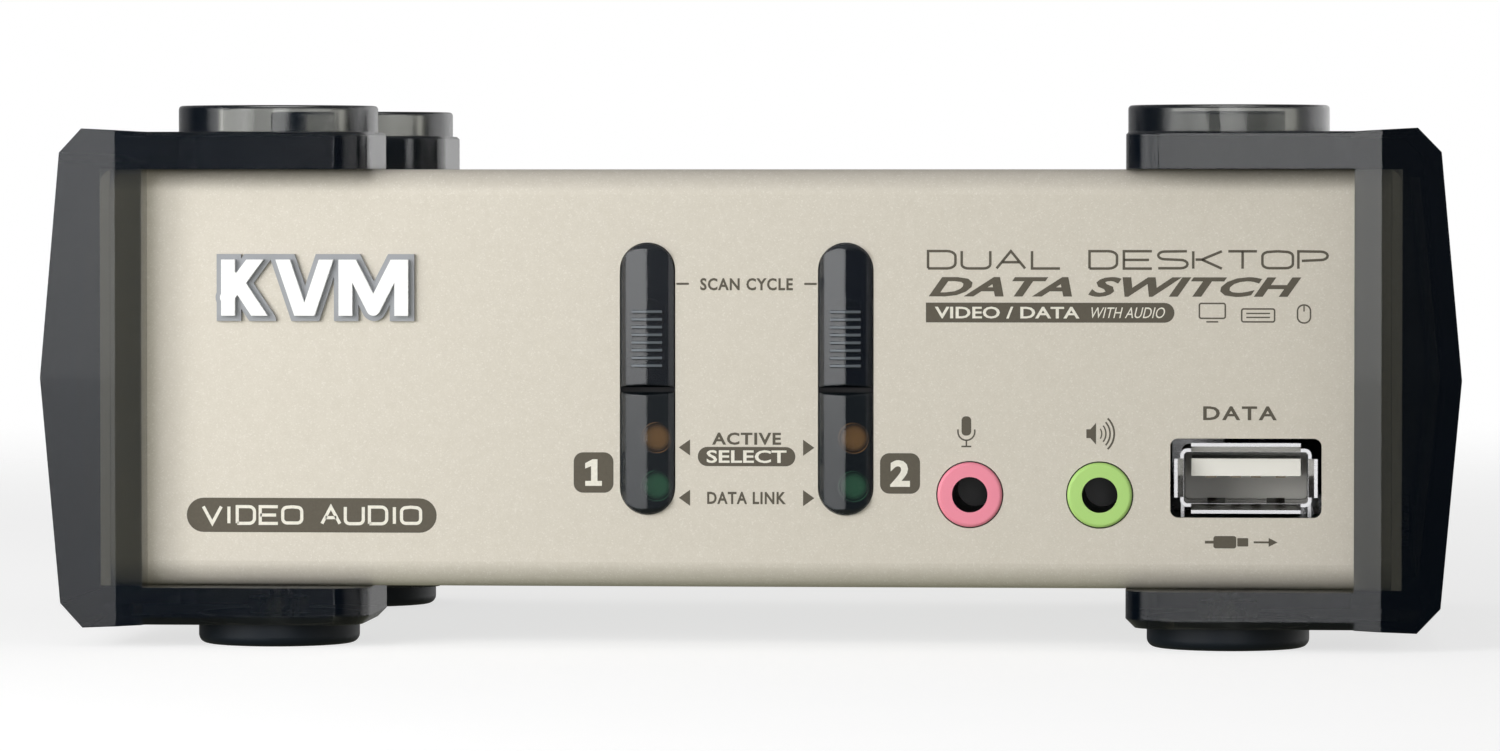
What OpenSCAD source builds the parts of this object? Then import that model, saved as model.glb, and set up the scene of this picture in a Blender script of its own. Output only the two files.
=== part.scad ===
// Two-port desktop KVM switch.
// +X is to the right seen from the front, +Y runs from the front panel to the connectors, +Z is up.
// The origin is the middle of the footprint, on the surface the rubber feet stand on.

/* [Case] */
// Outside width of the sheet-metal case
case_w = 132; // [131:0.5:134]
// Outside height of the sheet-metal case
case_h = 42.4; // [42:0.1:43]
// Front face of the front panel to rear face of the rear panel
case_d = 79.35; // [79.35:0.05:82]
// Sheet thickness
sheet_t = 1; // [0.8:0.1:1]
// Outside radius of the rolled top and bottom edges of the front panel
panel_edge_r = 2.6; // [1.5:0.1:3]

/* [Bumpers] */
// How far the bumper stands in front of the front panel
front_lip = 3.65; // [3:0.05:5]
// How far the bumper stands behind the rear panel
rear_lip = 3.65; // [3:0.05:4]
// Thickness of the tabs above and below the case
tab_t = 3.8; // [3.6:0.1:5]
// Half width at the inner edge of the front rim
rim_x = 61.5; // [61.2:0.1:62]
// Half width at the ridge between rim and outer facet
ridge_x = 63.9; // [63:0.1:64.5]
// Half width at the crease, half way up the side
side_x = 72; // [71.5:0.1:74]
// Half width at the shoulder, below the corner chamfer
shoulder_x = 69.9; // [69:0.1:71]
// Half width at the corner of the tab's top and bottom faces
corner_x = 67.5; // [67:0.1:68]
// Height of the corner chamfer
corner_h = 2.1; // [1:0.1:3]
// How far the tabs' outer faces rise between the rim and the corner
tab_flare = 0.35; // [0:0.05:0.5]
// Depth that the outer facet sweeps back between the ridge and the side
facet_d = 2.4; // [2:0.1:5]

/* [Stacking rings and feet] */
// Half distance between the left and right rings
ring_x = 48.6; // [48:0.1:50]
// Outside radius of a stacking ring
ring_r = 10.2; // [9.8:0.1:10.2]
// Wall of a stacking ring
ring_wall = 1.6; // [1.2:0.1:1.6]
// Height of a stacking ring
ring_h = 2.7; // [2:0.1:3]
// Radius of a rubber foot
foot_r = 8.25; // [7.5:0.05:8.3]
// Height of a rubber foot below its tab
foot_h = 2.3; // [2:0.1:3]

/* [Front controls] */
// Half distance between the two button columns
button_x = 10.05; // [9:0.05:12]
// Width of a capsule opening
capsule_w = 5.64; // [5.4:0.02:5.8]
// Height of a capsule opening
capsule_h = 27.6; // [27:0.1:28]
// Middle of the gap between button and indicator window, below mid-height
split_drop = 1.1; // [0.8:0.1:1.4]
// Gap between button and indicator window
split_gap = 0.5; // [0.4:0.1:0.9]
// How far buttons and windows stand out of the panel
button_proud = 1.1; // [0.8:0.1:1.4]
// Button travel
button_travel = 0.5; // [0.3:0.1:0.6]
// Slope of the two roof faces of a button or window
roof_slope = 14; // [10:1:16]
// Width of the bevel round a button or window
nose_bevel = 0.55; // [0.4:0.05:0.6]
// How far the indicator lamps sit to the right of their column
lamp_shift = 0.6; // [0:0.1:0.8]

/* [Badge] */
// Left edge of the badge letters
badge_x = -53.4; // [-54:0.1:-52]
// Height of the badge letters
letter_h = 5.7; // [5:0.1:6]
// Stroke of the badge letters
letter_stroke = 1.4; // [1.2:0.1:1.5]

/* [Front sockets] */
// Position of the microphone socket
mic_x = 22.6; // [21.5:0.1:23]
// Position of the speaker socket
speaker_x = 35.7; // [35:0.1:36.5]
// Position of the USB socket
usb_x = 50.4; // [50:0.1:51]
// Audio socket axis below mid-height
jack_drop = 11.64; // [11.4:0.02:11.8]
// USB socket axis below mid-height
usb_drop = 9.9; // [9.8:0.1:10]

/* [Rear connectors] */
// How far the video connectors stand out of the rear panel
rear_proj = 5; // [5:0.1:5.5]
// Column of the monitor port and of the first computer port
port_x1 = -14.3; // [-14.3:0.1:-14.1]
// Column of the second computer port
port_x2 = -45.2; // [-45.4:0.1:-45.2]
// Stacked USB sockets
rear_usb_x = 9.4; // [9:0.1:10]
// Stacked keyboard and mouse sockets
ps2_x = 24.5; // [24:0.1:25]
// Firmware socket
firmware_x = 36.5; // [36:0.1:37]
// Firmware slide switch
switch_x = 46.5; // [46:0.1:46.6]
// Power socket
power_x = 56.2; // [55.8:0.1:56.3]
// Travel of the firmware slide switch
switch_travel = 2; // [1:0.1:2]

/* [Hidden] */
$fn = 48;

// Heights
z_case0 = foot_h + tab_t;
z_case1 = z_case0 + case_h;
z_mid = (z_case0 + z_case1) / 2;
z_tab0 = foot_h;
z_tab1 = z_case1 + tab_t;
floor_z = z_case0 + sheet_t;
board_t = 1.6;
board_z = floor_z + 5.9;
upper_z = board_z + 19;

// Depths
y_front = -(front_lip + case_d + rear_proj) / 2;
panel_y = y_front + front_lip;
rear_y = panel_y + case_d;
bumper_d = front_lip + case_d + rear_lip;
bumper_mid_y = y_front + bumper_d / 2;
tongue_r = ring_r + 0.1;
ring_y = y_front + tongue_r;
seam_y = panel_y + 8;

// Small distances: assembly gap between touching parts, and overrun of cuts
gap = 0.05;
eps = 0.1;

// Case
side_in = case_w / 2 - sheet_t;
cover_bend_r = 1.5;
tray_wall_h = 10;
cover_screw_ys = [-18, 22];
inner_rim_x = rim_x - 0.3;

// Controls
cap_clear = 0.12;
flange_t = 1;
flange_out = 0.9;
carrier_y = panel_y + sheet_t + gap + flange_t + button_travel + 0.1;
carrier_t = 2;
control_y = panel_y + 10.75;
tact_d = 3.5;
tact_nose = 1.5;
stem_r = 1.5;
button_z0 = z_mid - split_drop + split_gap / 2;
button_z1 = z_mid + capsule_h / 2;
window_z0 = z_mid - capsule_h / 2;
window_z1 = z_mid - split_drop - split_gap / 2;
button_z = (button_z0 + button_z1) / 2;
nose_h = button_proud + sheet_t + gap;
selected_drop = 6.1;
link_drop = 11;
lamp_r = 1.5;

// Sockets
jack_z = z_mid - jack_drop;
usb_z = z_mid - usb_drop;
jack_bore_r = 1.8;
jack_bore_len = 14.5;
jack_collar_r = 3.28;
jack_proud = 0.3;
collar_clear = 0.12;
rear_speaker_x = -52;
rear_mic_x = -41;
usb_w = 13.2;
usb_h = 5.9;
usb_wall = 0.35;
usb_cutout_w = 15.2;
usb_cutout_h = 8;
cutout_r = 0.8;
front_usb_deep = 14;
rear_usb_deep = 15;
rear_usb_h = 15.6;
rear_usb_rows = [4.2, 11.4];
port_pitch = 24.99;
port_rise = 6.3;
port_w = 16.9;
port_h = 8.3;
port_r = 2.2;
port_wall = 0.4;
port_flange_w = 30.8;
port_flange_t = 0.8;
jackscrew_r = 1.45;
lower_port_z = board_z + port_rise;
upper_port_z = upper_z + port_rise;
ps2_pitch = 13;
ps2_w = 14;
ps2_well_r = 4.8;
ps2_deep = 7.5;
power_r = 4;
knob_w = 2;
knob_h = 1.8;
power_z = board_z + 5.9;
switch_z = board_z + 3;

// Fasteners
m3_r = 1.45;
m3_hole_r = 1.55;
standoff_spots = [[-57, -27], [57, -20], [-57, 10], [40, 14]];
spacer_spots = [[-57, -6], [-4, -6], [-31.5, 20]];

// ---------- shared shapes ----------

// The children and their mirror image in X
module both_sides() {
  children();
  mirror([1, 0, 0])
    children();
}

// The children and their mirror image about the bumpers' middle, front to rear
module both_ends() {
  children();
  translate([0, 2 * bumper_mid_y, 0])
    mirror([0, 1, 0])
      children();
}

// The children at the four ring and foot centres
module at_corners() {
  both_ends()
    both_sides()
      translate([ring_x, ring_y, 0])
        children();
}

// The children turned so that +Y becomes -Y, for sockets that face the front
module facing_front() {
  mirror([0, 1, 0])
    children();
}

// Rectangle about the origin with round corners
module round_rect(w, h, r) {
  square([w - 2 * r, h], center = true);
  square([w, h - 2 * r], center = true);
  for (x = [-1, 1], y = [-1, 1])
    translate([x * (w / 2 - r), y * (h / 2 - r)])
      circle(r = r);
}

// A flat shape in X and Z, run along Y from y0 to y1
module along_y(y0, y1) {
  translate([0, y1, 0])
    rotate([90, 0, 0])
      linear_extrude(y1 - y0)
        children();
}

// A flat shape in Y and Z, run along X from x0 to x1
module along_x(x0, x1) {
  translate([x0, 0, 0])
    rotate([90, 0, 90])
      linear_extrude(x1 - x0)
        children();
}

// A box from its low corner to its high corner
module box(low, high) {
  translate(low)
    cube(high - low);
}

// A round bar along Y from y0 to y1
module rod_y(r, y0, y1) {
  translate([0, y0, 0])
    rotate([-90, 0, 0])
      cylinder(r = r, h = y1 - y0);
}

// A round-ended stroke between two points in the plane
module stroke(a, b, w) {
  d = b - a;
  len = norm(d);
  translate(a)
    rotate(atan2(d[1], d[0])) {
      translate([0, -w / 2])
        square([len, w]);
      circle(d = w);
      translate([len, 0])
        circle(d = w);
    }
}

// Upright capsule of width w between two heights
module capsule(w, z0, z1) {
  translate([-w / 2, z0 + w / 2])
    square([w, z1 - z0 - w]);
  for (z = [z0 + w / 2, z1 - w / 2])
    translate([0, z])
      circle(d = w);
}

// Cross-head screw along +Z: head on z = 0 pointing down, shank of length len above it
module screw(head_r, head_t, shank_r, len) {
  difference() {
    union() {
      translate([0, 0, -head_t])
        cylinder(r = head_r, h = head_t);
      cylinder(r = shank_r, h = len);
    }
    for (a = [0, 90])
      rotate(a)
        translate([-head_r * 0.6, -0.25, -head_t - eps])
          cube([head_r * 1.2, 0.5, head_t * 0.6 + eps]);
  }
}

// ---------- case ----------

// Section of the front panel in Y and Z: face plate with its edges rolled back
module panel_section() {
  inner_r = panel_edge_r - sheet_t;
  reach = seam_y - gap - panel_y;
  difference() {
    union() {
      translate([panel_y, z_case0 + panel_edge_r])
        square([panel_edge_r, case_h - 2 * panel_edge_r]);
      translate([panel_y + panel_edge_r, z_case0])
        square([reach - panel_edge_r, case_h]);
      for (z = [z_case0 + panel_edge_r, z_case1 - panel_edge_r])
        translate([panel_y + panel_edge_r, z])
          circle(r = panel_edge_r);
    }
    translate([panel_y + sheet_t, z_case0 + panel_edge_r])
      square([reach, case_h - 2 * panel_edge_r]);
    translate([panel_y + panel_edge_r, floor_z])
      square([reach, case_h - 2 * sheet_t]);
    for (z = [z_case0 + panel_edge_r, z_case1 - panel_edge_r])
      translate([panel_y + panel_edge_r, z])
        circle(r = inner_r);
  }
}

module front_panel() {
  color([0.80, 0.77, 0.70])
    difference() {
      along_x(-case_w / 2 + sheet_t + gap, case_w / 2 - sheet_t - gap)
        panel_section();
      both_sides()
        translate([button_x, 0, 0])
          along_y(panel_y - eps, panel_y + sheet_t + eps)
            capsule(capsule_w, z_mid - capsule_h / 2, z_mid + capsule_h / 2);
      for (x = [mic_x, speaker_x])
        translate([x, 0, jack_z])
          rod_y(jack_collar_r + collar_clear, panel_y - eps, panel_y + sheet_t + eps);
      translate([usb_x, 0, usb_z])
        along_y(panel_y - eps, panel_y + sheet_t + eps)
          round_rect(usb_cutout_w, usb_cutout_h, cutout_r);
      at_corners()
        translate([0, 0, z_case0 - eps])
          cylinder(r = m3_hole_r, h = 2 * sheet_t);
    }
}

// Cover section in X and Z: top plate with two sides hanging from rounded bends
module cover_section(inset, bottom) {
  half = case_w / 2 - inset;
  r = cover_bend_r - inset;
  translate([-half + r, bottom])
    square([2 * (half - r), z_case1 - inset - bottom]);
  translate([-half, bottom])
    square([2 * half, z_case1 - inset - r - bottom]);
  for (x = [-half + r, half - r])
    translate([x, z_case1 - inset - r])
      circle(r = r);
}

module top_cover() {
  color([0.78, 0.75, 0.68])
    difference() {
      along_y(panel_y, rear_y - sheet_t - gap)
        difference() {
          cover_section(0, z_case0);
          cover_section(sheet_t, z_case0 - eps);
        }
      box([-side_in, panel_y - eps, z_case1 - 2 * sheet_t], [side_in, seam_y, z_case1 + eps]);
      cover_screw_holes(m3_hole_r);
    }
}

// Positions of the screws that hold the cover's sides to the base tray
module at_cover_screws() {
  both_sides()
    for (y = cover_screw_ys)
      translate([case_w / 2, y, floor_z + tray_wall_h / 2])
        rotate([0, -90, 0])
          children();
}

module cover_screw_holes(r) {
  at_cover_screws()
    translate([0, 0, -eps])
      cylinder(r = r, h = 3 * sheet_t);
}

module cover_screws() {
  color([0.7, 0.7, 0.72])
    at_cover_screws()
      screw(2.6, 1.2, m3_r, 3);
}

module base_tray() {
  flange = side_in - gap;
  tongue_w = 12;
  tongue_y0 = seam_y - 5;
  boss_r = 3.2;
  color([0.72, 0.73, 0.74])
    difference() {
      union() {
        box([-flange, seam_y, z_case0], [flange, rear_y - sheet_t - gap, floor_z]);
        both_sides()
          box([flange - sheet_t, seam_y + 2, floor_z - eps], [flange, rear_y - 4, floor_z + tray_wall_h]);
        for (x = [-ring_x, 0, ring_x])
          box([x - tongue_w / 2, tongue_y0, floor_z], [x + tongue_w / 2, seam_y + 3, floor_z + sheet_t]);
        at_corners()
          translate([0, 0, floor_z])
            cylinder(r = boss_r, h = 2 * sheet_t);
      }
      cover_screw_holes(m3_hole_r);
      at_corners()
        translate([0, 0, z_case0 - eps])
          cylinder(r = m3_hole_r, h = 6);
    }
}

// Outline of a D-shaped video shell, in X and Z, with its wide side up; grow widens it all round
module d_outline(grow) {
  w = port_w + 2 * grow;
  h = port_h + 2 * grow;
  r = port_r + grow;
  draft = h * tan(10);
  corners = [[-w / 2 + r, h / 2 - r], [w / 2 - r, h / 2 - r],
             [w / 2 - draft - r, -h / 2 + r], [-w / 2 + draft + r, -h / 2 + r]];
  turns = [[180, 90], [90, 0], [0, -90], [270, 180]];
  steps = 6;
  polygon([for (i = [0:3]) for (s = [0:steps])
    let (a = turns[i][0] + (turns[i][1] - turns[i][0]) * s / steps)
      corners[i] + r * [cos(a), sin(a)]]);
}

// Holes in the rear panel for one video port and its jackscrews
module port_cutout() {
  along_y(-sheet_t - eps, eps)
    d_outline(0.5);
  for (x = [-port_pitch / 2, port_pitch / 2])
    translate([x, 0, 0])
      rod_y(jackscrew_r + 0.3, -sheet_t - eps, eps);
}

module at_ports() {
  translate([port_x1, rear_y, lower_port_z])
    children();
  translate([port_x1, rear_y, upper_port_z])
    children();
  translate([port_x2, rear_y, upper_port_z])
    children();
}

module rear_panel() {
  half = case_w / 2;
  hem_len = 8;
  hem_half = 50;
  cut0 = rear_y - sheet_t - eps;
  cut1 = rear_y + eps;
  color([0.76, 0.73, 0.66])
    difference() {
      union() {
        box([-half, rear_y - sheet_t, z_case0], [half, rear_y, z_case1]);
        box([-hem_half, rear_y - hem_len, z_case1 - 2 * sheet_t - gap],
            [hem_half, rear_y - sheet_t + eps, z_case1 - sheet_t - gap]);
        box([-hem_half + hem_len, rear_y - hem_len, floor_z],
            [hem_half - hem_len, rear_y - sheet_t + eps, floor_z + sheet_t]);
      }
      at_ports()
        port_cutout();
      for (x = [rear_speaker_x, rear_mic_x, firmware_x])
        translate([x, 0, jack_z])
          rod_y(jack_collar_r + collar_clear, cut0, cut1);
      translate([rear_usb_x, 0, board_z + rear_usb_h / 2])
        along_y(cut0, cut1)
          round_rect(usb_cutout_w, rear_usb_h + 2, cutout_r);
      translate([ps2_x, 0, board_z + ps2_pitch])
        along_y(cut0, cut1)
          round_rect(ps2_w + 0.3, 2 * ps2_pitch + 0.4, cutout_r);
      translate([power_x, 0, power_z])
        rod_y(power_r + 0.1, cut0, cut1);
      translate([switch_x, 0, switch_z])
        along_y(cut0, cut1)
          round_rect(knob_w + switch_travel + 2.4, knob_h + 1.2, cutout_r / 2);
    }
}

// ---------- bumpers and feet ----------

// Silhouette of the right bumper in X and Z
module bumper_outline() {
  half_h = (z_tab1 - z_tab0) / 2;
  translate([0, z_mid])
    polygon([[inner_rim_x, -half_h], [corner_x, -half_h - tab_flare], [shoulder_x, corner_h - half_h],
             [side_x, 0], [shoulder_x, half_h - corner_h], [corner_x, half_h + tab_flare],
             [inner_rim_x, half_h]]);
}

// Space in front of the rim and its outer facet; the upper and lower halves lean back slightly
module facet_cut() {
  sweep = atan2(facet_d, side_x - ridge_x);
  lean = 0.3;
  size = [60, 20, 40];
  for (half = [0, 1])
    translate([0, y_front, z_mid])
      mirror([0, 0, half])
        rotate([-lean, 0, 0]) {
          translate([ring_x - size[0] / 2, -size[1], -1])
            cube(size);
          translate([ridge_x, 0, 0])
            rotate([0, 0, sweep])
              translate([-size[0] / 2, -size[1], -1])
                cube(size);
        }
}

// Half profile of a tab whose outer edge is bevelled
function tab_profile(half_w, bevel) =
  [[0, 0], [half_w - bevel, 0], [half_w, bevel], [half_w, tab_t], [0, tab_t]];

// Tab that reaches over the case, with round inner corners, drawn from its outer face (z = 0) inwards
module tongue(bevel) {
  reach = corner_x - ring_x - 2;
  inner_corner_r = 4.3;
  inner = tongue_r - inner_corner_r;
  translate([ring_x, ring_y, 0]) {
    for (y = [-inner, inner])
      translate([-inner, y, 0])
        rotate_extrude()
          polygon(tab_profile(inner_corner_r, bevel));
    along_x(-inner, reach) {
      polygon(tab_profile(tongue_r, bevel));
      mirror([1, 0])
        polygon(tab_profile(tongue_r, bevel));
    }
    along_y(-inner, inner)
      mirror([1, 0])
        polygon(tab_profile(tongue_r, bevel));
  }
}

// Shallow step in the rail between the two tongues, drawn from its outer face inwards
module rail_step(bevel) {
  y0 = ring_y + tongue_r;
  y1 = 2 * bumper_mid_y - y0;
  along_x(0, side_x + 1)
    polygon([[y0 - bevel - 1, -1], [y0, bevel], [y1, bevel], [y1 + bevel + 1, -1]]);
}

// Fillet between a tongue and the rail, seen from above
module tongue_fillet(bevel) {
  fillet_r = 5;
  translate([inner_rim_x, ring_y + tongue_r, bevel])
    mirror([1, 0, 0])
      linear_extrude(tab_t - bevel)
        difference() {
          translate([-eps, -eps])
            square(fillet_r + eps);
          translate([fillet_r, fillet_r])
            circle(r = fillet_r);
        }
}

module stacking_ring() {
  edge = 0.4;
  inner = ring_r - ring_wall;
  rotate_extrude() {
    polygon([[inner, -eps], [ring_r, -eps], [ring_r, ring_h - edge], [ring_r - edge, ring_h],
             [inner + edge, ring_h], [inner, ring_h - edge]]);
    for (r = [inner + edge, ring_r - edge])
      translate([r, ring_h - edge])
        circle(r = edge);
  }
}

// Hollow behind the outer wall, open towards the case
module bumper_pocket() {
  wall = 2;
  end_wall = 8;
  half_h = case_h / 2 - 0.8;
  along_y(panel_y + end_wall, rear_y - end_wall)
    translate([0, z_mid])
      polygon([[case_w / 2, -half_h], [shoulder_x - wall, -half_h], [side_x - wall, 0],
               [shoulder_x - wall, half_h], [case_w / 2, half_h]]);
}

module right_bumper() {
  low_bevel = 0.9;
  top_bevel = 0.3;
  foot_seat = 0.8;
  screw_seat = 2.4;
  color([0.10, 0.13, 0.17])
    difference() {
      union() {
        difference() {
          along_y(y_front, y_front + bumper_d)
            bumper_outline();
          translate([0, 0, z_tab0])
            rail_step(low_bevel);
          translate([0, 0, z_tab1])
            mirror([0, 0, 1])
              rail_step(top_bevel);
        }
        both_ends() {
          translate([0, 0, z_tab0]) {
            tongue(low_bevel);
            tongue_fillet(low_bevel);
          }
          translate([0, 0, z_tab1])
            mirror([0, 0, 1]) {
              tongue(top_bevel);
              tongue_fillet(top_bevel);
            }
          translate([ring_x, ring_y, z_tab1])
            stacking_ring();
        }
      }
      box([0, panel_y - gap, z_case0], [case_w / 2 + gap, rear_y + gap, z_case1]);
      box([0, y_front - eps, z_case0], [inner_rim_x, y_front + bumper_d + eps, z_case1]);
      both_ends()
        translate([inner_rim_x, panel_y, z_case0])
          rotate([0, 0, -atan2(rim_x - inner_rim_x, front_lip)])
            translate([-2, -2 * front_lip, 0])
              cube([2, 2 * front_lip, case_h]);
      bumper_pocket();
      both_ends()
        facet_cut();
      both_ends()
        translate([ring_x, ring_y, z_tab0]) {
          translate([0, 0, -eps])
            cylinder(r = foot_r + gap, h = foot_seat + eps);
          cylinder(r = 3.1, h = screw_seat);
          cylinder(r = m3_hole_r, h = tab_t + eps);
        }
    }
}

module left_bumper() {
  mirror([1, 0, 0])
    right_bumper();
}

module rubber_feet() {
  edge = 0.9;
  top = foot_h + 0.75;
  color([0.07, 0.08, 0.09])
    at_corners()
      rotate_extrude() {
        polygon([[0, 0], [foot_r - edge, 0], [foot_r, edge], [foot_r, top], [0, top]]);
        translate([foot_r - edge, edge])
          circle(r = edge);
      }
}

module bumper_screws() {
  color([0.7, 0.7, 0.72])
    at_corners()
      translate([0, 0, z_tab0 + 2.4])
        screw(2.9, 1.5, m3_r, 5.6);
}

// ---------- badge ----------

badge_z = z_mid + 9.2;
plate_t = 0.45;
plate_margin = 0.55;

// Strokes of the letters K, V and M, in half letter heights from the left edge and the middle
badge_strokes = [
  [[0.24, -1.5], [0.24, 1.5]], [[0.2, -0.35], [1.35, 1.2]], [[0.5, 0.3], [1.5, -1.2]],
  [[2.1, 1.3], [2.98, -1.3]], [[3.86, 1.3], [2.98, -1.3]],
  [[4.45, -1.5], [4.45, 1.5]], [[4.45, 1.2], [5.45, -0.75]],
  [[6.45, 1.2], [5.45, -0.75]], [[6.45, -1.5], [6.45, 1.5]]
];

// The badge letters with square-cut tops and feet, grown all round
module letter_shape(grow) {
  half_h = letter_h / 2 + grow;
  intersection() {
    for (s = badge_strokes)
      stroke(s[0] * letter_h / 2, s[1] * letter_h / 2, letter_stroke + 2 * grow);
    translate([-letter_h, -half_h])
      square([6 * letter_h, 2 * half_h]);
  }
}

module badge_plate() {
  color([0.55, 0.56, 0.58])
    translate([badge_x, 0, badge_z])
      along_y(panel_y - plate_t, panel_y)
        letter_shape(plate_margin);
}

module badge_letters() {
  color([0.95, 0.95, 0.95])
    translate([badge_x, 0, badge_z])
      along_y(panel_y - plate_t - 0.65, panel_y - plate_t)
        letter_shape(0);
}

// ---------- buttons and indicators ----------

// Height of the nose's wall, from the back of the panel to the bevel
nose_wall = nose_h - (capsule_w / 2 - cap_clear - nose_bevel) * tan(roof_slope) - nose_bevel;

// Half section of a nose, half width against height: wall, bevel, then one face of a shallow roof
function nose_section(half_w) =
  [[0, 0], [half_w, 0], [half_w, nose_wall], [half_w - nose_bevel, nose_wall + nose_bevel], [0, nose_h]];

// A half section and its mirror image, run upwards from the back of the panel
module nose_run(section, z0, z1) {
  translate([0, panel_y + sheet_t + gap, z0])
    mirror([0, 1, 0])
      linear_extrude(z1 - z0) {
        polygon(section);
        mirror([1, 0])
          polygon(section);
      }
}

// Button or window: a roofed nose with one round and one square end, both bevelled, on a flange
module capsule_piece(z0, z1, round_top) {
  half_w = capsule_w / 2 - cap_clear;
  section = nose_section(half_w);
  back = panel_y + sheet_t + gap;
  up = round_top ? 1 : -1;
  round_z = round_top ? z1 - capsule_w / 2 : z0 + capsule_w / 2;
  flat_z = round_top ? z0 : z1;
  tip_z = round_z + up * half_w;
  end_bevel = 0.3;
  low = min(round_z, flat_z);
  high = max(round_z, flat_z);
  difference() {
    intersection() {
      nose_run(section, min(flat_z, tip_z), max(flat_z, tip_z));
      union() {
        box([-capsule_w, back - 2 * nose_h, low], [capsule_w, back + nose_h, high]);
        translate([0, back, round_z])
          rotate([90, 0, 0])
            rotate_extrude()
              polygon([[0, -nose_h], [half_w, -nose_h], [half_w, nose_h - nose_bevel],
                       [half_w - nose_bevel, nose_h], [0, nose_h]]);
      }
    }
    along_x(-capsule_w, capsule_w)
      polygon([[back - nose_wall, flat_z - up], [back - nose_wall, flat_z],
               [back - 2 * nose_h + nose_wall, flat_z + 2 * up * end_bevel], [back - 2 * nose_h, flat_z - up]]);
  }
  along_y(back, back + flange_t)
    translate([-capsule_w / 2 - flange_out, low])
      square([capsule_w + 2 * flange_out, high - low]);
  translate([0, 0, round_z])
    rod_y(capsule_w / 2 + flange_out, back, back + flange_t);
}

// Raised ribs across the roof of a button, for the fingertip
module grip_ribs() {
  rib_t = 0.12;
  rib_h = 0.2;
  first = 2.1;
  pitch = 0.78;
  half_w = 1.5;
  section = [[0, 0], [half_w, 0], [half_w, nose_h - half_w * tan(roof_slope) + rib_t], [0, nose_h + rib_t]];
  for (i = [0:7])
    nose_run(section, button_z0 + first + i * pitch, button_z0 + first + i * pitch + rib_h);
}

module button_cap(x) {
  stem_end = control_y - tact_d - tact_nose - gap;
  color([0.08, 0.10, 0.14])
    translate([x, 0, 0]) {
      capsule_piece(button_z0, button_z1, true);
      grip_ribs();
      translate([0, 0, button_z])
        rod_y(stem_r, panel_y + sheet_t + gap, stem_end);
    }
}

module button_cap_1() {
  button_cap(-button_x);
}

module button_cap_2() {
  button_cap(button_x);
}

module indicator_window(x) {
  color([0.12, 0.15, 0.19])
    translate([x, 0, 0])
      capsule_piece(window_z0, window_z1, false);
}

module indicator_window_1() {
  indicator_window(-button_x);
}

module indicator_window_2() {
  indicator_window(button_x);
}

// The children at the two lamps of one height
module at_lamps(drop) {
  for (side = [-1, 1])
    translate([side * button_x + lamp_shift, 0, z_mid - drop])
      children();
}

module button_carrier() {
  half = button_x + 7;
  z0 = window_z0 - 2;
  z1 = button_z1 + 2;
  color([0.05, 0.05, 0.05])
    difference() {
      union() {
        box([-half, carrier_y, z0], [half, carrier_y + carrier_t, z1]);
        both_sides()
          box([half - 1.6, panel_y + sheet_t, z0], [half, carrier_y + eps, z1]);
        both_sides()
          box([half - 3, carrier_y + carrier_t - eps, z0 + 4], [half, control_y, z0 + 8]);
        both_sides()
          box([half - 3, carrier_y + carrier_t - eps, z1 - 8], [half, control_y, z1 - 4]);
      }
      both_sides()
        translate([button_x, 0, button_z])
          rod_y(stem_r + 0.08, carrier_y - eps, carrier_y + carrier_t + eps);
      for (drop = [selected_drop, link_drop])
        at_lamps(drop)
          rod_y(lamp_r + eps, carrier_y - eps, carrier_y + carrier_t + eps);
    }
}

module control_board() {
  color([0.10, 0.32, 0.16])
    box([-18.5, control_y, board_z + 1], [18.5, control_y + board_t, z_case1 - 4]);
}

module tact_switches() {
  color([0.12, 0.12, 0.13])
    both_sides()
      translate([button_x, 0, button_z])
        difference() {
          along_y(control_y - tact_d, control_y)
            round_rect(6, 6, 0.4);
          rod_y(1.85, control_y - tact_d - eps, control_y - 1.2);
        }
}

module switch_plunger(x) {
  color([0.75, 0.72, 0.62])
    translate([x, 0, button_z])
      rod_y(1.75, control_y - tact_d - tact_nose, control_y - tact_d + 1.4);
}

module switch_plunger_1() {
  switch_plunger(-button_x);
}

module switch_plunger_2() {
  switch_plunger(button_x);
}

// Round indicator lamps whose domes end just behind the windows, with their legs down to the board
module lamps(drop) {
  tip = panel_y + sheet_t + gap + flange_t + 0.1;
  rim_y = carrier_y + carrier_t + 0.6;
  leg_pitch = 2.54;
  at_lamps(drop) {
    rod_y(lamp_r, tip + lamp_r, rim_y + 1);
    translate([0, tip + lamp_r, 0])
      sphere(r = lamp_r);
    rod_y(lamp_r + 0.4, rim_y, rim_y + 1);
    for (z = [-leg_pitch / 2, leg_pitch / 2])
      translate([0, 0, z])
        rod_y(0.25, rim_y + 1 - eps, control_y);
  }
}

module selected_leds() {
  color([0.85, 0.45, 0.12])
    lamps(selected_drop);
}

module link_leds() {
  color([0.15, 0.6, 0.25])
    lamps(link_drop);
}

// Angle header between the upright control board and the main board
module control_header() {
  pins = 9;
  color([0.08, 0.08, 0.08])
    box([-12, control_y + board_t, board_z], [12, control_y + board_t + 2.5, board_z + 5]);
  color([0.85, 0.7, 0.35])
    for (i = [0:pins - 1])
      translate([(i - (pins - 1) / 2) * 2.54, 0, 0])
        box([-0.32, control_y + board_t + 2.5 - eps, board_z],
            [0.32, control_y + board_t + 4.5, board_z + 0.64]);
}

// ---------- sockets ----------

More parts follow.
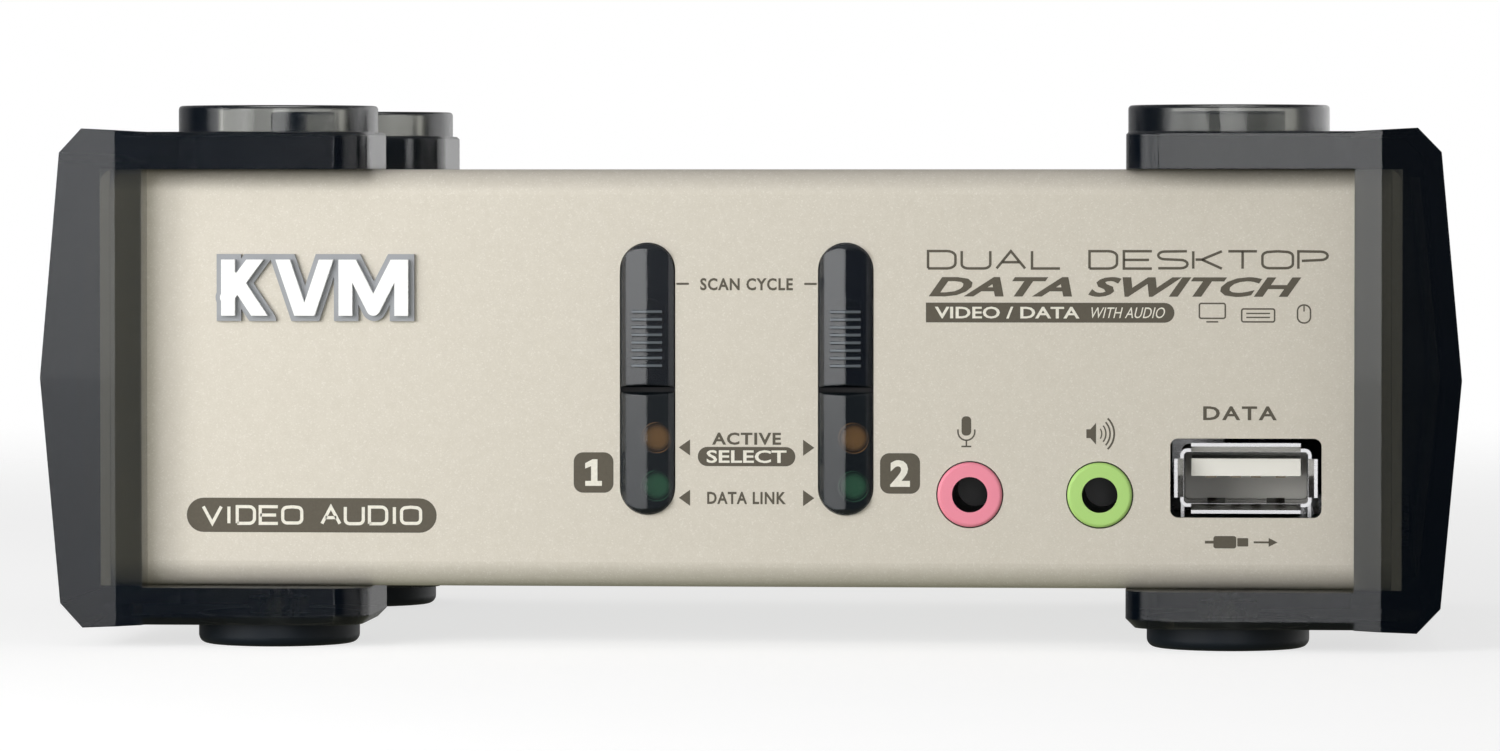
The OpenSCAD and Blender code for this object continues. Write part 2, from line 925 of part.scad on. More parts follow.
// Flared lips round a USB mouth, at y = 0, on a shell of width w and height h
module usb_lips(w, h) {
  flare = 0.6;
  deep = 1.4;
  half_w = w / 2;
  half_h = h / 2;
  for (side = [0, 1]) {
    mirror([0, 0, side])
      along_x(-half_w + 1.1, half_w - 1.1)
        polygon([[-deep, half_h], [-deep, half_h - usb_wall],
                 [0, half_h - usb_wall + flare], [0, half_h + flare]]);
    mirror([side, 0, 0])
      translate([0, 0, -half_h + 1])
        linear_extrude(h - 2)
          polygon([[half_w, -deep], [half_w - usb_wall, -deep],
                   [half_w - usb_wall + flare, 0], [half_w + flare, 0]]);
  }
}

// Drawn steel shell of a USB socket, mouth at y = 0 facing +Y
module usb_shell(w, h, deep) {
  along_y(-deep, -1.35)
    difference() {
      round_rect(w, h, 0.7);
      round_rect(w - 2 * usb_wall, h - 2 * usb_wall, 0.4);
    }
  along_y(-deep, -deep + usb_wall)
    round_rect(w, h, 0.7);
  usb_lips(w, h);
}

// White tongue and back block inside a USB shell
module usb_tongue(deep) {
  inner_w = usb_w - 2 * usb_wall - 0.1;
  inner_h = usb_h - 2 * usb_wall - 0.1;
  box([-5.5, -deep + 2, 0.15], [5.5, -2.2, 1.9]);
  along_y(-deep + usb_wall + gap, -deep + 3)
    round_rect(inner_w, inner_h, 0.4);
}

// Four contact springs on the underside of a tongue
module usb_contacts(deep) {
  for (x = [-3.5, -1, 1, 3.5])
    box([x - 0.5, -deep + 3, -0.05], [x + 0.5, -2.8, 0.15]);
}

// Springs pressed in the floor of the shell are part of the shell
module usb_springs(deep) {
  for (x = [-3, 3])
    along_x(x - 0.9, x + 0.9)
      polygon([[-deep + 4, -usb_h / 2 + usb_wall - 0.02], [-3.5, -usb_h / 2 + usb_wall - 0.02],
               [-4.2, -usb_h / 2 + usb_wall + 0.45], [-5.5, -usb_h / 2 + usb_wall + 0.3]]);
}

module at_front_usb() {
  translate([usb_x, panel_y - 0.2, usb_z])
    facing_front()
      children();
}

module front_usb_shell() {
  color([0.8, 0.8, 0.82])
    at_front_usb() {
      usb_shell(usb_w, usb_h, front_usb_deep);
      usb_springs(front_usb_deep);
      for (x = [-usb_w / 2 + usb_wall / 2, usb_w / 2 - usb_wall / 2])
        box([x - 0.17, -9, board_z - usb_z], [x + 0.17, -7, -2]);
    }
}

module front_usb_tongue() {
  color([0.93, 0.92, 0.88])
    at_front_usb()
      usb_tongue(front_usb_deep);
}

module front_usb_contacts() {
  color([0.85, 0.7, 0.35])
    at_front_usb()
      usb_contacts(front_usb_deep);
}

// 3.5 mm socket facing +Y with its panel at y = 0; the body stands on the board
module audio_socket() {
  edge = 0.35;
  body_w = 8;
  body_h = 5.6;
  body_back = 15.5;
  body_low = board_z - jack_z;
  collar_back = -2;
  difference() {
    union() {
      rotate([-90, 0, 0])
        rotate_extrude() {
          polygon([[0, collar_back], [jack_collar_r, collar_back], [jack_collar_r, jack_proud - edge],
                   [jack_collar_r - edge, jack_proud], [0, jack_proud]]);
          translate([jack_collar_r - edge, jack_proud - edge])
            circle(r = edge);
        }
      box([-body_w / 2, -body_back, body_low], [body_w / 2, collar_back + eps, body_low + body_h]);
    }
    rod_y(jack_bore_r, jack_proud - jack_bore_len, 1);
  }
}

module mic_socket() {
  color([0.94, 0.56, 0.63])
    translate([mic_x, panel_y, jack_z])
      facing_front()
        audio_socket();
}

module speaker_socket() {
  color([0.69, 0.85, 0.50])
    translate([speaker_x, panel_y, jack_z])
      facing_front()
        audio_socket();
}

module rear_speaker_socket() {
  color([0.69, 0.85, 0.50])
    translate([rear_speaker_x, rear_y, jack_z])
      audio_socket();
}

module rear_mic_socket() {
  color([0.94, 0.56, 0.63])
    translate([rear_mic_x, rear_y, jack_z])
      audio_socket();
}

module firmware_socket() {
  color([0.10, 0.10, 0.11])
    translate([firmware_x, rear_y, jack_z])
      audio_socket();
}

port_back = -sheet_t - port_flange_t;

// Drawn shell of a video port with its flange behind the panel
module port_shell() {
  difference() {
    union() {
      along_y(port_back, -sheet_t)
        round_rect(port_flange_w, port_h + 4.1, cutout_r);
      along_y(-sheet_t - eps, rear_proj)
        d_outline(0);
    }
    along_y(port_back - eps, rear_proj + eps)
      d_outline(-port_wall);
    for (x = [-port_pitch / 2, port_pitch / 2])
      translate([x, 0, 0])
        rod_y(jackscrew_r + 0.15, port_back - eps, 0);
  }
}

// Insulator of a video port: fifteen contact holes in three rows, and the block on the board
module port_core() {
  pitch = 2.29;
  row_gap = 1.98;
  pin_hole_r = 0.55;
  pin_deep = 5;
  block_w = port_flange_w - 0.4;
  block_d = 11;
  block_top = 5;
  difference() {
    union() {
      along_y(port_back - gap, rear_proj - port_wall)
        d_outline(-port_wall - gap);
      box([-block_w / 2, port_back - block_d, -port_rise], [block_w / 2, port_back - gap, block_top]);
    }
    for (row = [-1:1], i = [-2:2])
      translate([i * pitch + (row == 0 ? pitch / 4 : -pitch / 4), rear_proj - pin_deep, row * row_gap])
        rotate([-90, 0, 0])
          cylinder(r = pin_hole_r, h = pin_deep, $fn = 8);
    for (x = [-port_pitch / 2, port_pitch / 2])
      translate([x, 0, 0])
        rod_y(jackscrew_r + 0.15, port_back - 6, port_back + eps);
  }
}

module monitor_port_shell() {
  color([0.78, 0.78, 0.80])
    translate([port_x1, rear_y, lower_port_z])
      port_shell();
}

module monitor_port_core() {
  color([0.10, 0.22, 0.60])
    translate([port_x1, rear_y, lower_port_z])
      port_core();
}

module at_computer_ports() {
  for (x = [port_x1, port_x2])
    translate([x, rear_y, upper_port_z])
      children();
}

module computer_port_shells() {
  color([0.78, 0.78, 0.80])
    at_computer_ports()
      port_shell();
}

module computer_port_cores() {
  color([0.85, 0.65, 0.15])
    at_computer_ports()
      port_core();
}

// Hexagonal jackscrews: nut outside the panel, threaded end through panel and flange
module port_jackscrews() {
  nut_r = 2.75;
  thread_r = 1.25;
  color([0.75, 0.75, 0.77])
    at_ports()
      for (x = [-port_pitch / 2, port_pitch / 2])
        translate([x, 0, 0])
          difference() {
            union() {
              rotate([-90, 0, 0])
                cylinder(r = nut_r, h = rear_proj - 0.2, $fn = 6);
              rod_y(jackscrew_r, -6, eps);
            }
            rod_y(thread_r, -3, rear_proj);
          }
}

module rear_usb_shell() {
  divider = [7, 8.6];
  half = usb_w / 2 - usb_wall / 2;
  color([0.8, 0.8, 0.82])
    translate([rear_usb_x, rear_y + 0.4, board_z]) {
      translate([0, 0, rear_usb_h / 2])
        usb_shell(usb_w, rear_usb_h, rear_usb_deep);
      box([-half, -rear_usb_deep + usb_wall / 2, divider[0]], [half, -1.2, divider[1]]);
    }
}

module rear_usb_tongues() {
  color([0.93, 0.92, 0.88])
    for (z = rear_usb_rows)
      translate([rear_usb_x, rear_y + 0.4, board_z + z])
        usb_tongue(rear_usb_deep);
}

// The children at the axis of a mini-DIN socket: row 0 is the lower one
module at_ps2(row) {
  translate([ps2_x, rear_y, board_z + (row + 0.5) * ps2_pitch])
    children();
}

// One mini-DIN block with the round well for the plug's shield
module ps2_block() {
  half_h = (ps2_pitch - gap) / 2;
  difference() {
    box([-ps2_w / 2, -12, -half_h], [ps2_w / 2, 0.5, half_h]);
    rod_y(ps2_well_r, -ps2_deep, 1);
  }
}

module keyboard_socket() {
  color([0.45, 0.25, 0.60])
    at_ps2(0)
      ps2_block();
}

module mouse_socket() {
  color([0.35, 0.70, 0.40])
    at_ps2(1)
      ps2_block();
}

module ps2_shields() {
  outer = ps2_well_r - gap;
  wall = 0.35;
  color([0.8, 0.8, 0.82])
    for (row = [0, 1])
      at_ps2(row)
        difference() {
          rod_y(outer, -ps2_deep + eps, 0.3);
          rod_y(outer - wall, -ps2_deep, 0.4);
        }
}

module ps2_cores() {
  core_r = 3.5;
  pin_hole = 0.8;
  pin_spots = [[-2.1, 0.3], [2.1, 0.3], [-1.5, -1.7], [1.5, -1.7], [-0.9, 2.2], [0.9, 2.2]];
  color([0.06, 0.06, 0.07])
    for (row = [0, 1])
      at_ps2(row)
        difference() {
          rod_y(core_r, -ps2_deep + eps, -0.3);
          for (spot = pin_spots)
            translate([spot[0], 0, spot[1]])
              box([-pin_hole / 2, -4, -pin_hole / 2], [pin_hole / 2, 0, pin_hole / 2]);
          box([-0.6, -5, -1.5], [0.6, 0, 0.6]);
        }
}

power_deep = 9.5;

module power_socket() {
  body_w = 9;
  color([0.07, 0.07, 0.08])
    translate([power_x, rear_y, power_z])
      difference() {
        union() {
          box([-body_w / 2, -13, board_z - power_z], [body_w / 2, -sheet_t - gap, 5]);
          rod_y(power_r, -sheet_t - 2 * gap, 0.5);
        }
        rod_y(2.85, -power_deep, 1);
      }
}

module power_pin() {
  pin_r = 1;
  color([0.85, 0.85, 0.87])
    translate([power_x, rear_y, power_z]) {
      rod_y(pin_r, -power_deep, -pin_r);
      translate([0, -pin_r, 0])
        sphere(r = pin_r);
    }
}

// Slide switch standing on the board behind its slot in the rear panel
module firmware_switch() {
  body_w = 8.8;
  slot_half = (switch_travel + knob_w) / 2 + 0.15;
  color([0.75, 0.76, 0.78])
    translate([switch_x, rear_y - sheet_t - 0.1, switch_z])
      difference() {
        box([-body_w / 2, -4, board_z - switch_z], [body_w / 2, 0, 2.6]);
        box([-slot_half, -2.6, -knob_h / 2 - eps], [slot_half, eps, knob_h / 2 + eps]);
      }
}

module firmware_knob() {
  x = switch_x - switch_travel / 2;
  color([0.05, 0.05, 0.06])
    translate([x, rear_y, switch_z]) {
      box([-knob_w / 2, -sheet_t - 2.5, -knob_h / 2], [knob_w / 2, 1.2, knob_h / 2]);
      for (z = [-0.45, 0.45])
        box([-knob_w / 2, 1.1, z - 0.2], [knob_w / 2, 1.4, z + 0.2]);
    }
}

// ---------- boards and parts on them ----------

module main_board() {
  front = panel_y + 3.6;
  notch_x = 20.2;
  notch_y = control_y + board_t + 0.3;
  color([0.10, 0.32, 0.16])
    difference() {
      box([-61.5, front, board_z - board_t], [61.5, rear_y - 2.2, board_z]);
      box([-notch_x + 2.2, front - eps, board_z - 2 * board_t], [notch_x - 2.2, notch_y - 1, board_z + eps]);
      for (spot = standoff_spots)
        translate([spot[0], spot[1], board_z - 2 * board_t])
          cylinder(r = m3_hole_r, h = 3 * board_t);
      for (spot = spacer_spots)
        translate([spot[0], spot[1], board_z - 2 * board_t])
          cylinder(r = m3_hole_r, h = 3 * board_t);
    }
}

module upper_board() {
  color([0.10, 0.32, 0.16])
    difference() {
      box([-61.5, -11, upper_z - board_t], [1.5, rear_y - 2.2, upper_z]);
      for (spot = spacer_spots)
        translate([spot[0], spot[1], upper_z - 2 * board_t])
          cylinder(r = m3_hole_r, h = 3 * board_t);
    }
}

// Hexagonal post with a threaded hole, standing from z0 to z1
module post(z0, z1) {
  difference() {
    translate([0, 0, z0])
      cylinder(r = 2.8, h = z1 - z0, $fn = 6);
    translate([0, 0, z0 - eps])
      cylinder(r = m3_r + gap, h = z1 - z0 + 2 * eps);
  }
}

module board_standoffs() {
  color([0.78, 0.68, 0.35])
    for (spot = standoff_spots)
      translate([spot[0], spot[1], 0])
        post(floor_z, board_z - board_t);
}

module board_spacers() {
  color([0.78, 0.68, 0.35])
    for (spot = spacer_spots)
      translate([spot[0], spot[1], 0])
        post(board_z, upper_z - board_t);
}

// Screws down through a board into its posts
module screws_down(spots, z, len) {
  for (spot = spots)
    translate([spot[0], spot[1], z])
      mirror([0, 0, 1])
        screw(2.7, 1.8, m3_r, len);
}

module board_screws() {
  color([0.7, 0.7, 0.72]) {
    screws_down(standoff_spots, board_z, board_t + 3.5);
    screws_down(spacer_spots, upper_z, board_t + 5);
    for (spot = spacer_spots)
      translate([spot[0], spot[1], board_z - board_t])
        screw(2.7, 1.8, m3_r, board_t + 5);
  }
}

// Stacking header that carries signals from the main board to the upper board
module board_link() {
  color([0.08, 0.08, 0.08])
    box([-52, -8, board_z], [-20, -3, upper_z - board_t]);
}

// Chips: column, row and size of each on the main board, then one on the upper board
chip_spots = [[-30, -24, 14], [-3, -16, 10], [22, -8, 12], [44, -14, 7]];

// Flat chip with a row of legs on each side
module chip(size) {
  t = 1.5;
  legs = 5;
  color([0.06, 0.06, 0.07])
    translate([-size / 2, -size / 2, 0.15])
      cube([size, size, t]);
  color([0.8, 0.8, 0.82])
    for (turn = [0:90:270], i = [0:legs - 1])
      rotate(turn)
        translate([(i - (legs - 1) / 2) * size / (legs + 1) - 0.2, size / 2 - eps, 0])
          cube([0.4, 1.1, 0.5]);
}

module controller_chips() {
  for (spot = chip_spots)
    translate([spot[0], spot[1], board_z])
      chip(spot[2]);
  translate([-31.5, 6, upper_z])
    chip(9);
}

module capacitors() {
  color([0.12, 0.14, 0.30])
    for (spot = [[52, 8, 4], [52, -4, 3.15], [8, 6, 3.15]])
      translate([spot[0], spot[1], board_z]) {
        cylinder(r = spot[2], h = 11);
        translate([0, 0, 11])
          cylinder(r = spot[2] - 0.5, h = 0.3);
      }
}

module crystal() {
  color([0.8, 0.8, 0.82])
    translate([-16.5, -11, board_z])
      linear_extrude(3.6)
        round_rect(11, 4.6, 2.29);
}

front_panel();
top_cover();
base_tray();
rear_panel();
left_bumper();
right_bumper();
rubber_feet();
bumper_screws();
cover_screws();
badge_plate();
badge_letters();
button_cap_1();
button_cap_2();
indicator_window_1();
indicator_window_2();
button_carrier();
control_board();
tact_switches();
switch_plunger_1();
switch_plunger_2();
selected_leds();
link_leds();
control_header();
front_usb_shell();
front_usb_tongue();
front_usb_contacts();
mic_socket();
speaker_socket();
main_board();
upper_board();
board_standoffs();
board_spacers();
board_screws();
board_link();
controller_chips();
capacitors();
crystal();
monitor_port_shell();
monitor_port_core();
computer_port_shells();
computer_port_cores();
port_jackscrews();
rear_usb_shell();
rear_usb_tongues();
keyboard_socket();
mouse_socket();
ps2_shields();
ps2_cores();
rear_speaker_socket();
rear_mic_socket();
firmware_socket();
power_socket();
power_pin();
firmware_switch();
firmware_knob();
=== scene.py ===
"""Looks for the two-port desktop KVM switch: materials, printed labels, light and camera around the CAD frame."""

import math

import bmesh
import bpy
from mathutils import Matrix, Vector


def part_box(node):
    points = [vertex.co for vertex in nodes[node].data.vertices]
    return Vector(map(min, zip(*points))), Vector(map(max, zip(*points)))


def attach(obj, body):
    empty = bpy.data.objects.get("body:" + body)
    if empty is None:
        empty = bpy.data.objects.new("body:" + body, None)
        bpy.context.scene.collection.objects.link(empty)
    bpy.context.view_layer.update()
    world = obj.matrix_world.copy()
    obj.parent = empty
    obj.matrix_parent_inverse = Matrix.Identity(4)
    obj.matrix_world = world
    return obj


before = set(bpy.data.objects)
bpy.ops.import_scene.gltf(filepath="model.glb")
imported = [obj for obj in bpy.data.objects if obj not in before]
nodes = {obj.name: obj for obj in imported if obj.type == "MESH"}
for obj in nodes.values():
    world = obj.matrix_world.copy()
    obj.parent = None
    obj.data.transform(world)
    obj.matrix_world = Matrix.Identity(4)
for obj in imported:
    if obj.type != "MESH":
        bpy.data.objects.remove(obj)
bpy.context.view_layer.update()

MM = 0.001

# ---------------------------------------------------------------- places taken from the frame

panel_low, panel_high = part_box("front_panel")
FRONT_Y = panel_low.y
REAR_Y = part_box("rear_panel")[1].y
MID_Z = (panel_low.z + panel_high.z) / 2


def centre(node):
    low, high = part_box(node)
    return (low + high) / 2


# ---------------------------------------------------------------- node-tree helpers


class Tree:
    """A material's or world's node tree, with nodes made in one call."""

    def __init__(self, owner):
        owner.use_nodes = True
        self.tree = owner.node_tree
        self.tree.nodes.clear()

    def add(self, kind, props=None, **inputs):
        """One node. Input names have spaces as underscores; a socket as a value is linked."""
        node = self.tree.nodes.new(kind)
        for key, value in (props or {}).items():
            setattr(node, key, value)
        for key, value in inputs.items():
            name = key.replace("_", " ")
            socket = node.inputs[int(name[1:])] if name[0] == "i" and name[1:].isdigit() else node.inputs[name]
            self.feed(socket, value)
        return node

    def feed(self, socket, value):
        if isinstance(value, bpy.types.NodeSocket):
            self.tree.links.new(value, socket)
        elif isinstance(value, tuple) and len(value) == 3 and socket.type == "RGBA":
            socket.default_value = (*value, 1)
        else:
            socket.default_value = value

    def math(self, operation, a, b=0.0, c=None):
        inputs = {"i0": a, "i1": b}
        if c is not None:
            inputs["i2"] = c
        return self.add("ShaderNodeMath", {"operation": operation}, **inputs).outputs[0]

    def mix_colour(self, factor, a, b, blend="MIX"):
        node = self.add("ShaderNodeMix", {"data_type": "RGBA", "blend_type": blend})
        self.feed(node.inputs[0], factor)
        self.feed(node.inputs[6], a)
        self.feed(node.inputs[7], b)
        return node.outputs[2]

    def ramp(self, value, stops, smooth=False):
        node = self.add("ShaderNodeValToRGB", Fac=value)
        node.color_ramp.interpolation = "EASE" if smooth else "LINEAR"
        elements = node.color_ramp.elements
        while len(elements) < len(stops):
            elements.new(0.5)
        for element, (position, shade) in zip(elements, stops):
            element.position = position
            element.color = (*shade, 1) if isinstance(shade, tuple) else (shade, shade, shade, 1)
        return node.outputs[0]

    def place(self):
        return self.add("ShaderNodeTexCoord").outputs["Object"]

    def noise(self, scale, detail=2.0, roughness=0.5, place=None):
        return self.add(
            "ShaderNodeTexNoise",
            Vector=place or self.place(),
            Scale=scale,
            Detail=detail,
            Roughness=roughness,
        ).outputs["Fac"]

    def bump(self, height, depth, strength=1.0):
        return self.add("ShaderNodeBump", Height=height, Distance=depth, Strength=strength).outputs[0]


def new_material(name):
    material = bpy.data.materials.new(name)
    return material, Tree(material)


def finish_material(tree, surface, volume=None):
    out = tree.add("ShaderNodeOutputMaterial", Surface=surface)
    if volume is not None:
        tree.feed(out.inputs["Volume"], volume)


# ---------------------------------------------------------------- materials


def case_paint():
    """Champagne metallic paint: warm grey with pale and dark sparkle and a faint orange peel."""
    material, t = new_material("case_paint")
    place = t.place()
    cells = t.add("ShaderNodeTexVoronoi", Vector=place, Scale=8000.0)
    flake = t.add("ShaderNodeSeparateColor", Color=cells.outputs["Color"]).outputs[0]
    cloud = t.noise(900.0, 3.0, 0.6, place)
    sparkle = t.ramp(flake, [(0.0, 0.0), (0.5, 0.15), (0.9, 0.4), (1.0, 1.0)])
    base = t.mix_colour(cloud, (0.60, 0.555, 0.475), (0.665, 0.62, 0.54))
    coloured = t.mix_colour(t.math("MULTIPLY", sparkle, 0.32), base, (0.93, 0.90, 0.84))
    peel = t.noise(1500.0, 2.0, 0.5, place)
    height = t.math("ADD", t.math("MULTIPLY", peel, 0.7), t.math("MULTIPLY", flake, 0.3))
    shader = t.add(
        "ShaderNodeBsdfPrincipled",
        Base_Color=coloured,
        Metallic=0.18,
        Roughness=t.math("MULTIPLY_ADD", flake, 0.14, 0.46),
        Specular_IOR_Level=0.35,
        Normal=t.bump(height, 0.02 * MM, 0.5),
    )
    finish_material(t, shader.outputs[0])
    return material


def bare_steel(name, tint=(0.62, 0.63, 0.64), roughness=0.32, streak=(1.0, 18.0, 18.0), metallic=1.0):
    """Plated steel with fine drawn streaks."""
    material, t = new_material(name)
    mapped = t.add("ShaderNodeMapping", Vector=t.place(), Scale=streak).outputs[0]
    grain = t.noise(260.0, 4.0, 0.6, mapped)
    colour = t.mix_colour(grain, tuple(c * 0.82 for c in tint), tuple(min(1.0, c * 1.12) for c in tint))
    shader = t.add(
        "ShaderNodeBsdfPrincipled",
        Base_Color=colour,
        Metallic=metallic,
        Roughness=t.math("MULTIPLY_ADD", grain, 0.18, roughness - 0.09),
        Normal=t.bump(grain, 0.01 * MM, 0.4),
    )
    finish_material(t, shader.outputs[0])
    return material


def smoke_plastic(name, density, tint, body, haze=0.12, roughness=0.1, index=1.5, soft_edge=0.15):
    """Smoke-tinted translucent plastic: surface gloss over a slightly milky body that absorbs light."""
    material, t = new_material(name)
    mottle = t.noise(90.0, 3.0, 0.55)
    milk = t.mix_colour(mottle, tuple(c * 0.75 for c in body), tuple(c * 1.25 for c in body))
    inside = t.add("ShaderNodeMixShader", Fac=t.math("MULTIPLY_ADD", mottle, 0.04, haze - 0.02))
    t.feed(inside.inputs[1], t.add("ShaderNodeBsdfTransparent", Color=(1.0, 1.0, 1.0)).outputs[0])
    t.feed(inside.inputs[2], t.add("ShaderNodeBsdfDiffuse", Color=milk).outputs[0])
    edges = t.add("ShaderNodeBevel", {"samples": 6}, Radius=soft_edge * MM).outputs[0]
    facing = t.add("ShaderNodeFresnel", IOR=index, Normal=edges).outputs[0]
    gloss = t.add(
        "ShaderNodeBsdfGlossy",
        Color=(1.0, 1.0, 1.0),
        Roughness=t.math("MULTIPLY_ADD", mottle, 0.04, roughness - 0.02),
        Normal=edges,
    )
    surface = t.add("ShaderNodeMixShader", Fac=facing)
    t.feed(surface.inputs[1], inside.outputs[0])
    t.feed(surface.inputs[2], gloss.outputs[0])
    absorb = t.add("ShaderNodeVolumeAbsorption", Color=tint, Density=density)
    finish_material(t, surface.outputs[0], absorb.outputs[0])
    return material


def moulded_plastic(
    name, colour, roughness=0.42, grain_mm=0.25, depth_mm=0.012, vary=0.12, shine=0.5, dark_body_and_bore_shade=False
):
    """Opaque moulded plastic, spark-eroded and slightly uneven in colour. A socket can be near-black behind the panel
    face: the jack's own black body and painted shade in its bore.
    """
    material, t = new_material(name)
    place = t.place()
    grain = t.noise(1.0 / (grain_mm * MM), 3.0, 0.6, place)
    cloud = t.noise(180.0, 2.0, 0.5, place)
    shade = t.mix_colour(cloud, tuple(c * (1 - vary) for c in colour), tuple(min(1.0, c * (1 + vary)) for c in colour))
    # Near-black behind the panel face: the jack's black body and painted shade down its bore
    if dark_body_and_bore_shade:
        y = t.add("ShaderNodeSeparateXYZ", Vector=place).outputs[1]
        behind_front = t.math("GREATER_THAN", y, FRONT_Y + 0.2 * MM)
        before_rear = t.math("LESS_THAN", y, REAR_Y - 0.2 * MM)
        shade = t.mix_colour(t.math("MULTIPLY", behind_front, before_rear), shade, (0.006, 0.005, 0.006))
    shader = t.add(
        "ShaderNodeBsdfPrincipled",
        Base_Color=shade,
        Roughness=t.math("MULTIPLY_ADD", grain, 0.16, roughness - 0.08),
        Specular_IOR_Level=shine,
        Normal=t.bump(grain, depth_mm * MM, 0.5),
    )
    finish_material(t, shader.outputs[0])
    return material


def lamp_epoxy(name, colour, glow):
    """Tinted epoxy of an indicator lamp, lit a little from inside so that it shows through its window, with painted
    shade towards the rim of the lens.
    """
    material, t = new_material(name)
    cloud = t.noise(700.0, 2.0, 0.5)
    lens = t.mix_colour(cloud, tuple(c * 0.75 for c in colour), colour)
    # Colour and glow darken where the lens turns away: painted shade towards its rim
    away = t.add("ShaderNodeLayerWeight", Blend=0.5).outputs["Facing"]
    painted_rim_falloff = t.ramp(away, [(0.0, 0.0), (0.2, 0.15), (0.45, 0.7), (0.7, 1.0)])
    shade = t.mix_colour(painted_rim_falloff, lens, tuple(c * 0.06 for c in colour))
    shader = t.add(
        "ShaderNodeBsdfPrincipled",
        Base_Color=shade,
        Roughness=0.2,
        Emission_Color=shade,
        Emission_Strength=glow,
    )
    finish_material(t, shader.outputs[0])
    return material


def circuit_board():
    """Green solder mask over copper tracks, with gold pads."""
    material, t = new_material("circuit_board")
    place = t.place()
    tracks = t.add(
        "ShaderNodeTexBrick",
        Vector=place,
        Scale=260.0,
        Mortar_Size=0.035,
        Color1=(0.012, 0.105, 0.040),
        Color2=(0.015, 0.120, 0.046),
        Mortar=(0.03, 0.19, 0.08),
    ).outputs["Color"]
    cells = t.add("ShaderNodeTexVoronoi", Vector=place, Scale=420.0).outputs["Distance"]
    pad = t.ramp(cells, [(0.0, 1.0), (0.16, 1.0), (0.19, 0.0), (1.0, 0.0)])
    shader = t.add(
        "ShaderNodeBsdfPrincipled",
        Base_Color=t.mix_colour(pad, tracks, (0.72, 0.55, 0.25)),
        Metallic=pad,
        Roughness=0.35,
        Coat_Weight=0.4,
    )
    finish_material(t, shader.outputs[0])
    return material


def print_ink(name, colour):
    """Screen-printed ink: flat, with the slight unevenness of a print over textured paint."""
    material, t = new_material(name)
    place = t.place()
    speck = t.noise(3200.0, 2.0, 0.6, place)
    shade = t.mix_colour(speck, tuple(c * 0.86 for c in colour), tuple(min(1.0, c * 1.14) for c in colour))
    shader = t.add(
        "ShaderNodeBsdfPrincipled",
        Base_Color=shade,
        Roughness=0.55,
        Specular_IOR_Level=0.3,
        Normal=t.bump(speck, 0.01 * MM, 0.4),
    )
    finish_material(t, shader.outputs[0])
    return material


PAINT = case_paint()
STEEL = bare_steel("bare_steel")
SCREW = bare_steel("screw_steel", (0.66, 0.66, 0.68), 0.28, (6.0, 6.0, 6.0))
CHROME = bare_steel("shell_chrome", (0.80, 0.80, 0.82), 0.16, (1.0, 9.0, 9.0))
DULL_SHELL = bare_steel("shell_dull", (0.46, 0.46, 0.47), 0.26, (1.0, 9.0, 9.0))
# Dark brown metal for the contacts under the front socket's tongue
DARK_BROWN_CONTACT = bare_steel("contact_dark_brown", (0.20, 0.17, 0.13), 0.40, (4.0, 4.0, 4.0))
BRASS = bare_steel("brass_post", (0.72, 0.56, 0.26), 0.30, (3.0, 3.0, 12.0))
SMOKE = smoke_plastic("smoke_plastic", 545.0, (0.45, 0.45, 0.40), (0.012, 0.030, 0.062), 0.12, 0.16)
CAP_SMOKE = smoke_plastic("button_smoke", 1500.0, (0.30, 0.36, 0.46), (0.012, 0.020, 0.034), 0.35, 0.10, 1.66, 0.2)
WINDOW_SMOKE = smoke_plastic("window_smoke", 900.0, (0.40, 0.42, 0.42), (0.022, 0.034, 0.046), 0.32, 0.10, 1.60, 0.2)
RUBBER = moulded_plastic("foot_rubber", (0.006, 0.009, 0.013), 0.48, 0.18, 0.01, 0.2, 0.25)
BLACK = moulded_plastic("black_plastic", (0.012, 0.012, 0.014), 0.45)
SWITCH = moulded_plastic("switch_body", (0.03, 0.03, 0.034), 0.4)
CREAM = moulded_plastic("plunger_cream", (0.62, 0.56, 0.42), 0.45)
WHITE = moulded_plastic("tongue_white", (0.86, 0.84, 0.78), 0.35, 0.3, 0.006, 0.05)
PINK = moulded_plastic("socket_pink", (0.87, 0.27, 0.36), 0.38, 0.22, 0.008, 0.06, 0.5, True)
GREEN = moulded_plastic("socket_green", (0.43, 0.69, 0.20), 0.38, 0.22, 0.008, 0.06, 0.5, True)
BLUE = moulded_plastic("port_blue", (0.02, 0.06, 0.33), 0.4, 0.22, 0.008)
YELLOW = moulded_plastic("port_yellow", (0.80, 0.47, 0.04), 0.4, 0.22, 0.008, 0.06)
PURPLE = moulded_plastic("socket_purple", (0.16, 0.06, 0.30), 0.4, 0.22, 0.008)
SLEEVE = moulded_plastic("capacitor_sleeve", (0.012, 0.014, 0.06), 0.25, 0.5, 0.004)
# Grey for the plate round the badge's white letters: painted shade standing in for the shaded edges of the letters
BADGE_EDGE_SHADE = moulded_plastic("badge_grey", (0.30, 0.31, 0.33), 0.4, 0.2, 0.008, 0.05)
BADGE_WHITE = moulded_plastic("badge_white", (0.92, 0.92, 0.92), 0.28, 0.4, 0.004, 0.02)
BOARD = circuit_board()
ORANGE_LAMP = lamp_epoxy("led_orange", (0.80, 0.40, 0.13), 1.6)
GREEN_LAMP = lamp_epoxy("led_green", (0.15, 0.48, 0.245), 1.45)
# Lighter grey for the button ribs than the smoked cap: a painted highlight along each rib
RIB_PAINTED_HIGHLIGHT = moulded_plastic("rib_painted_highlight", (0.10, 0.115, 0.13), 0.22, 0.3, 0.002, 0.1, 0.6)
INK = print_ink("print_ink", (0.105, 0.092, 0.070))
PALE_INK = print_ink("pale_ink", (0.80, 0.77, 0.68))

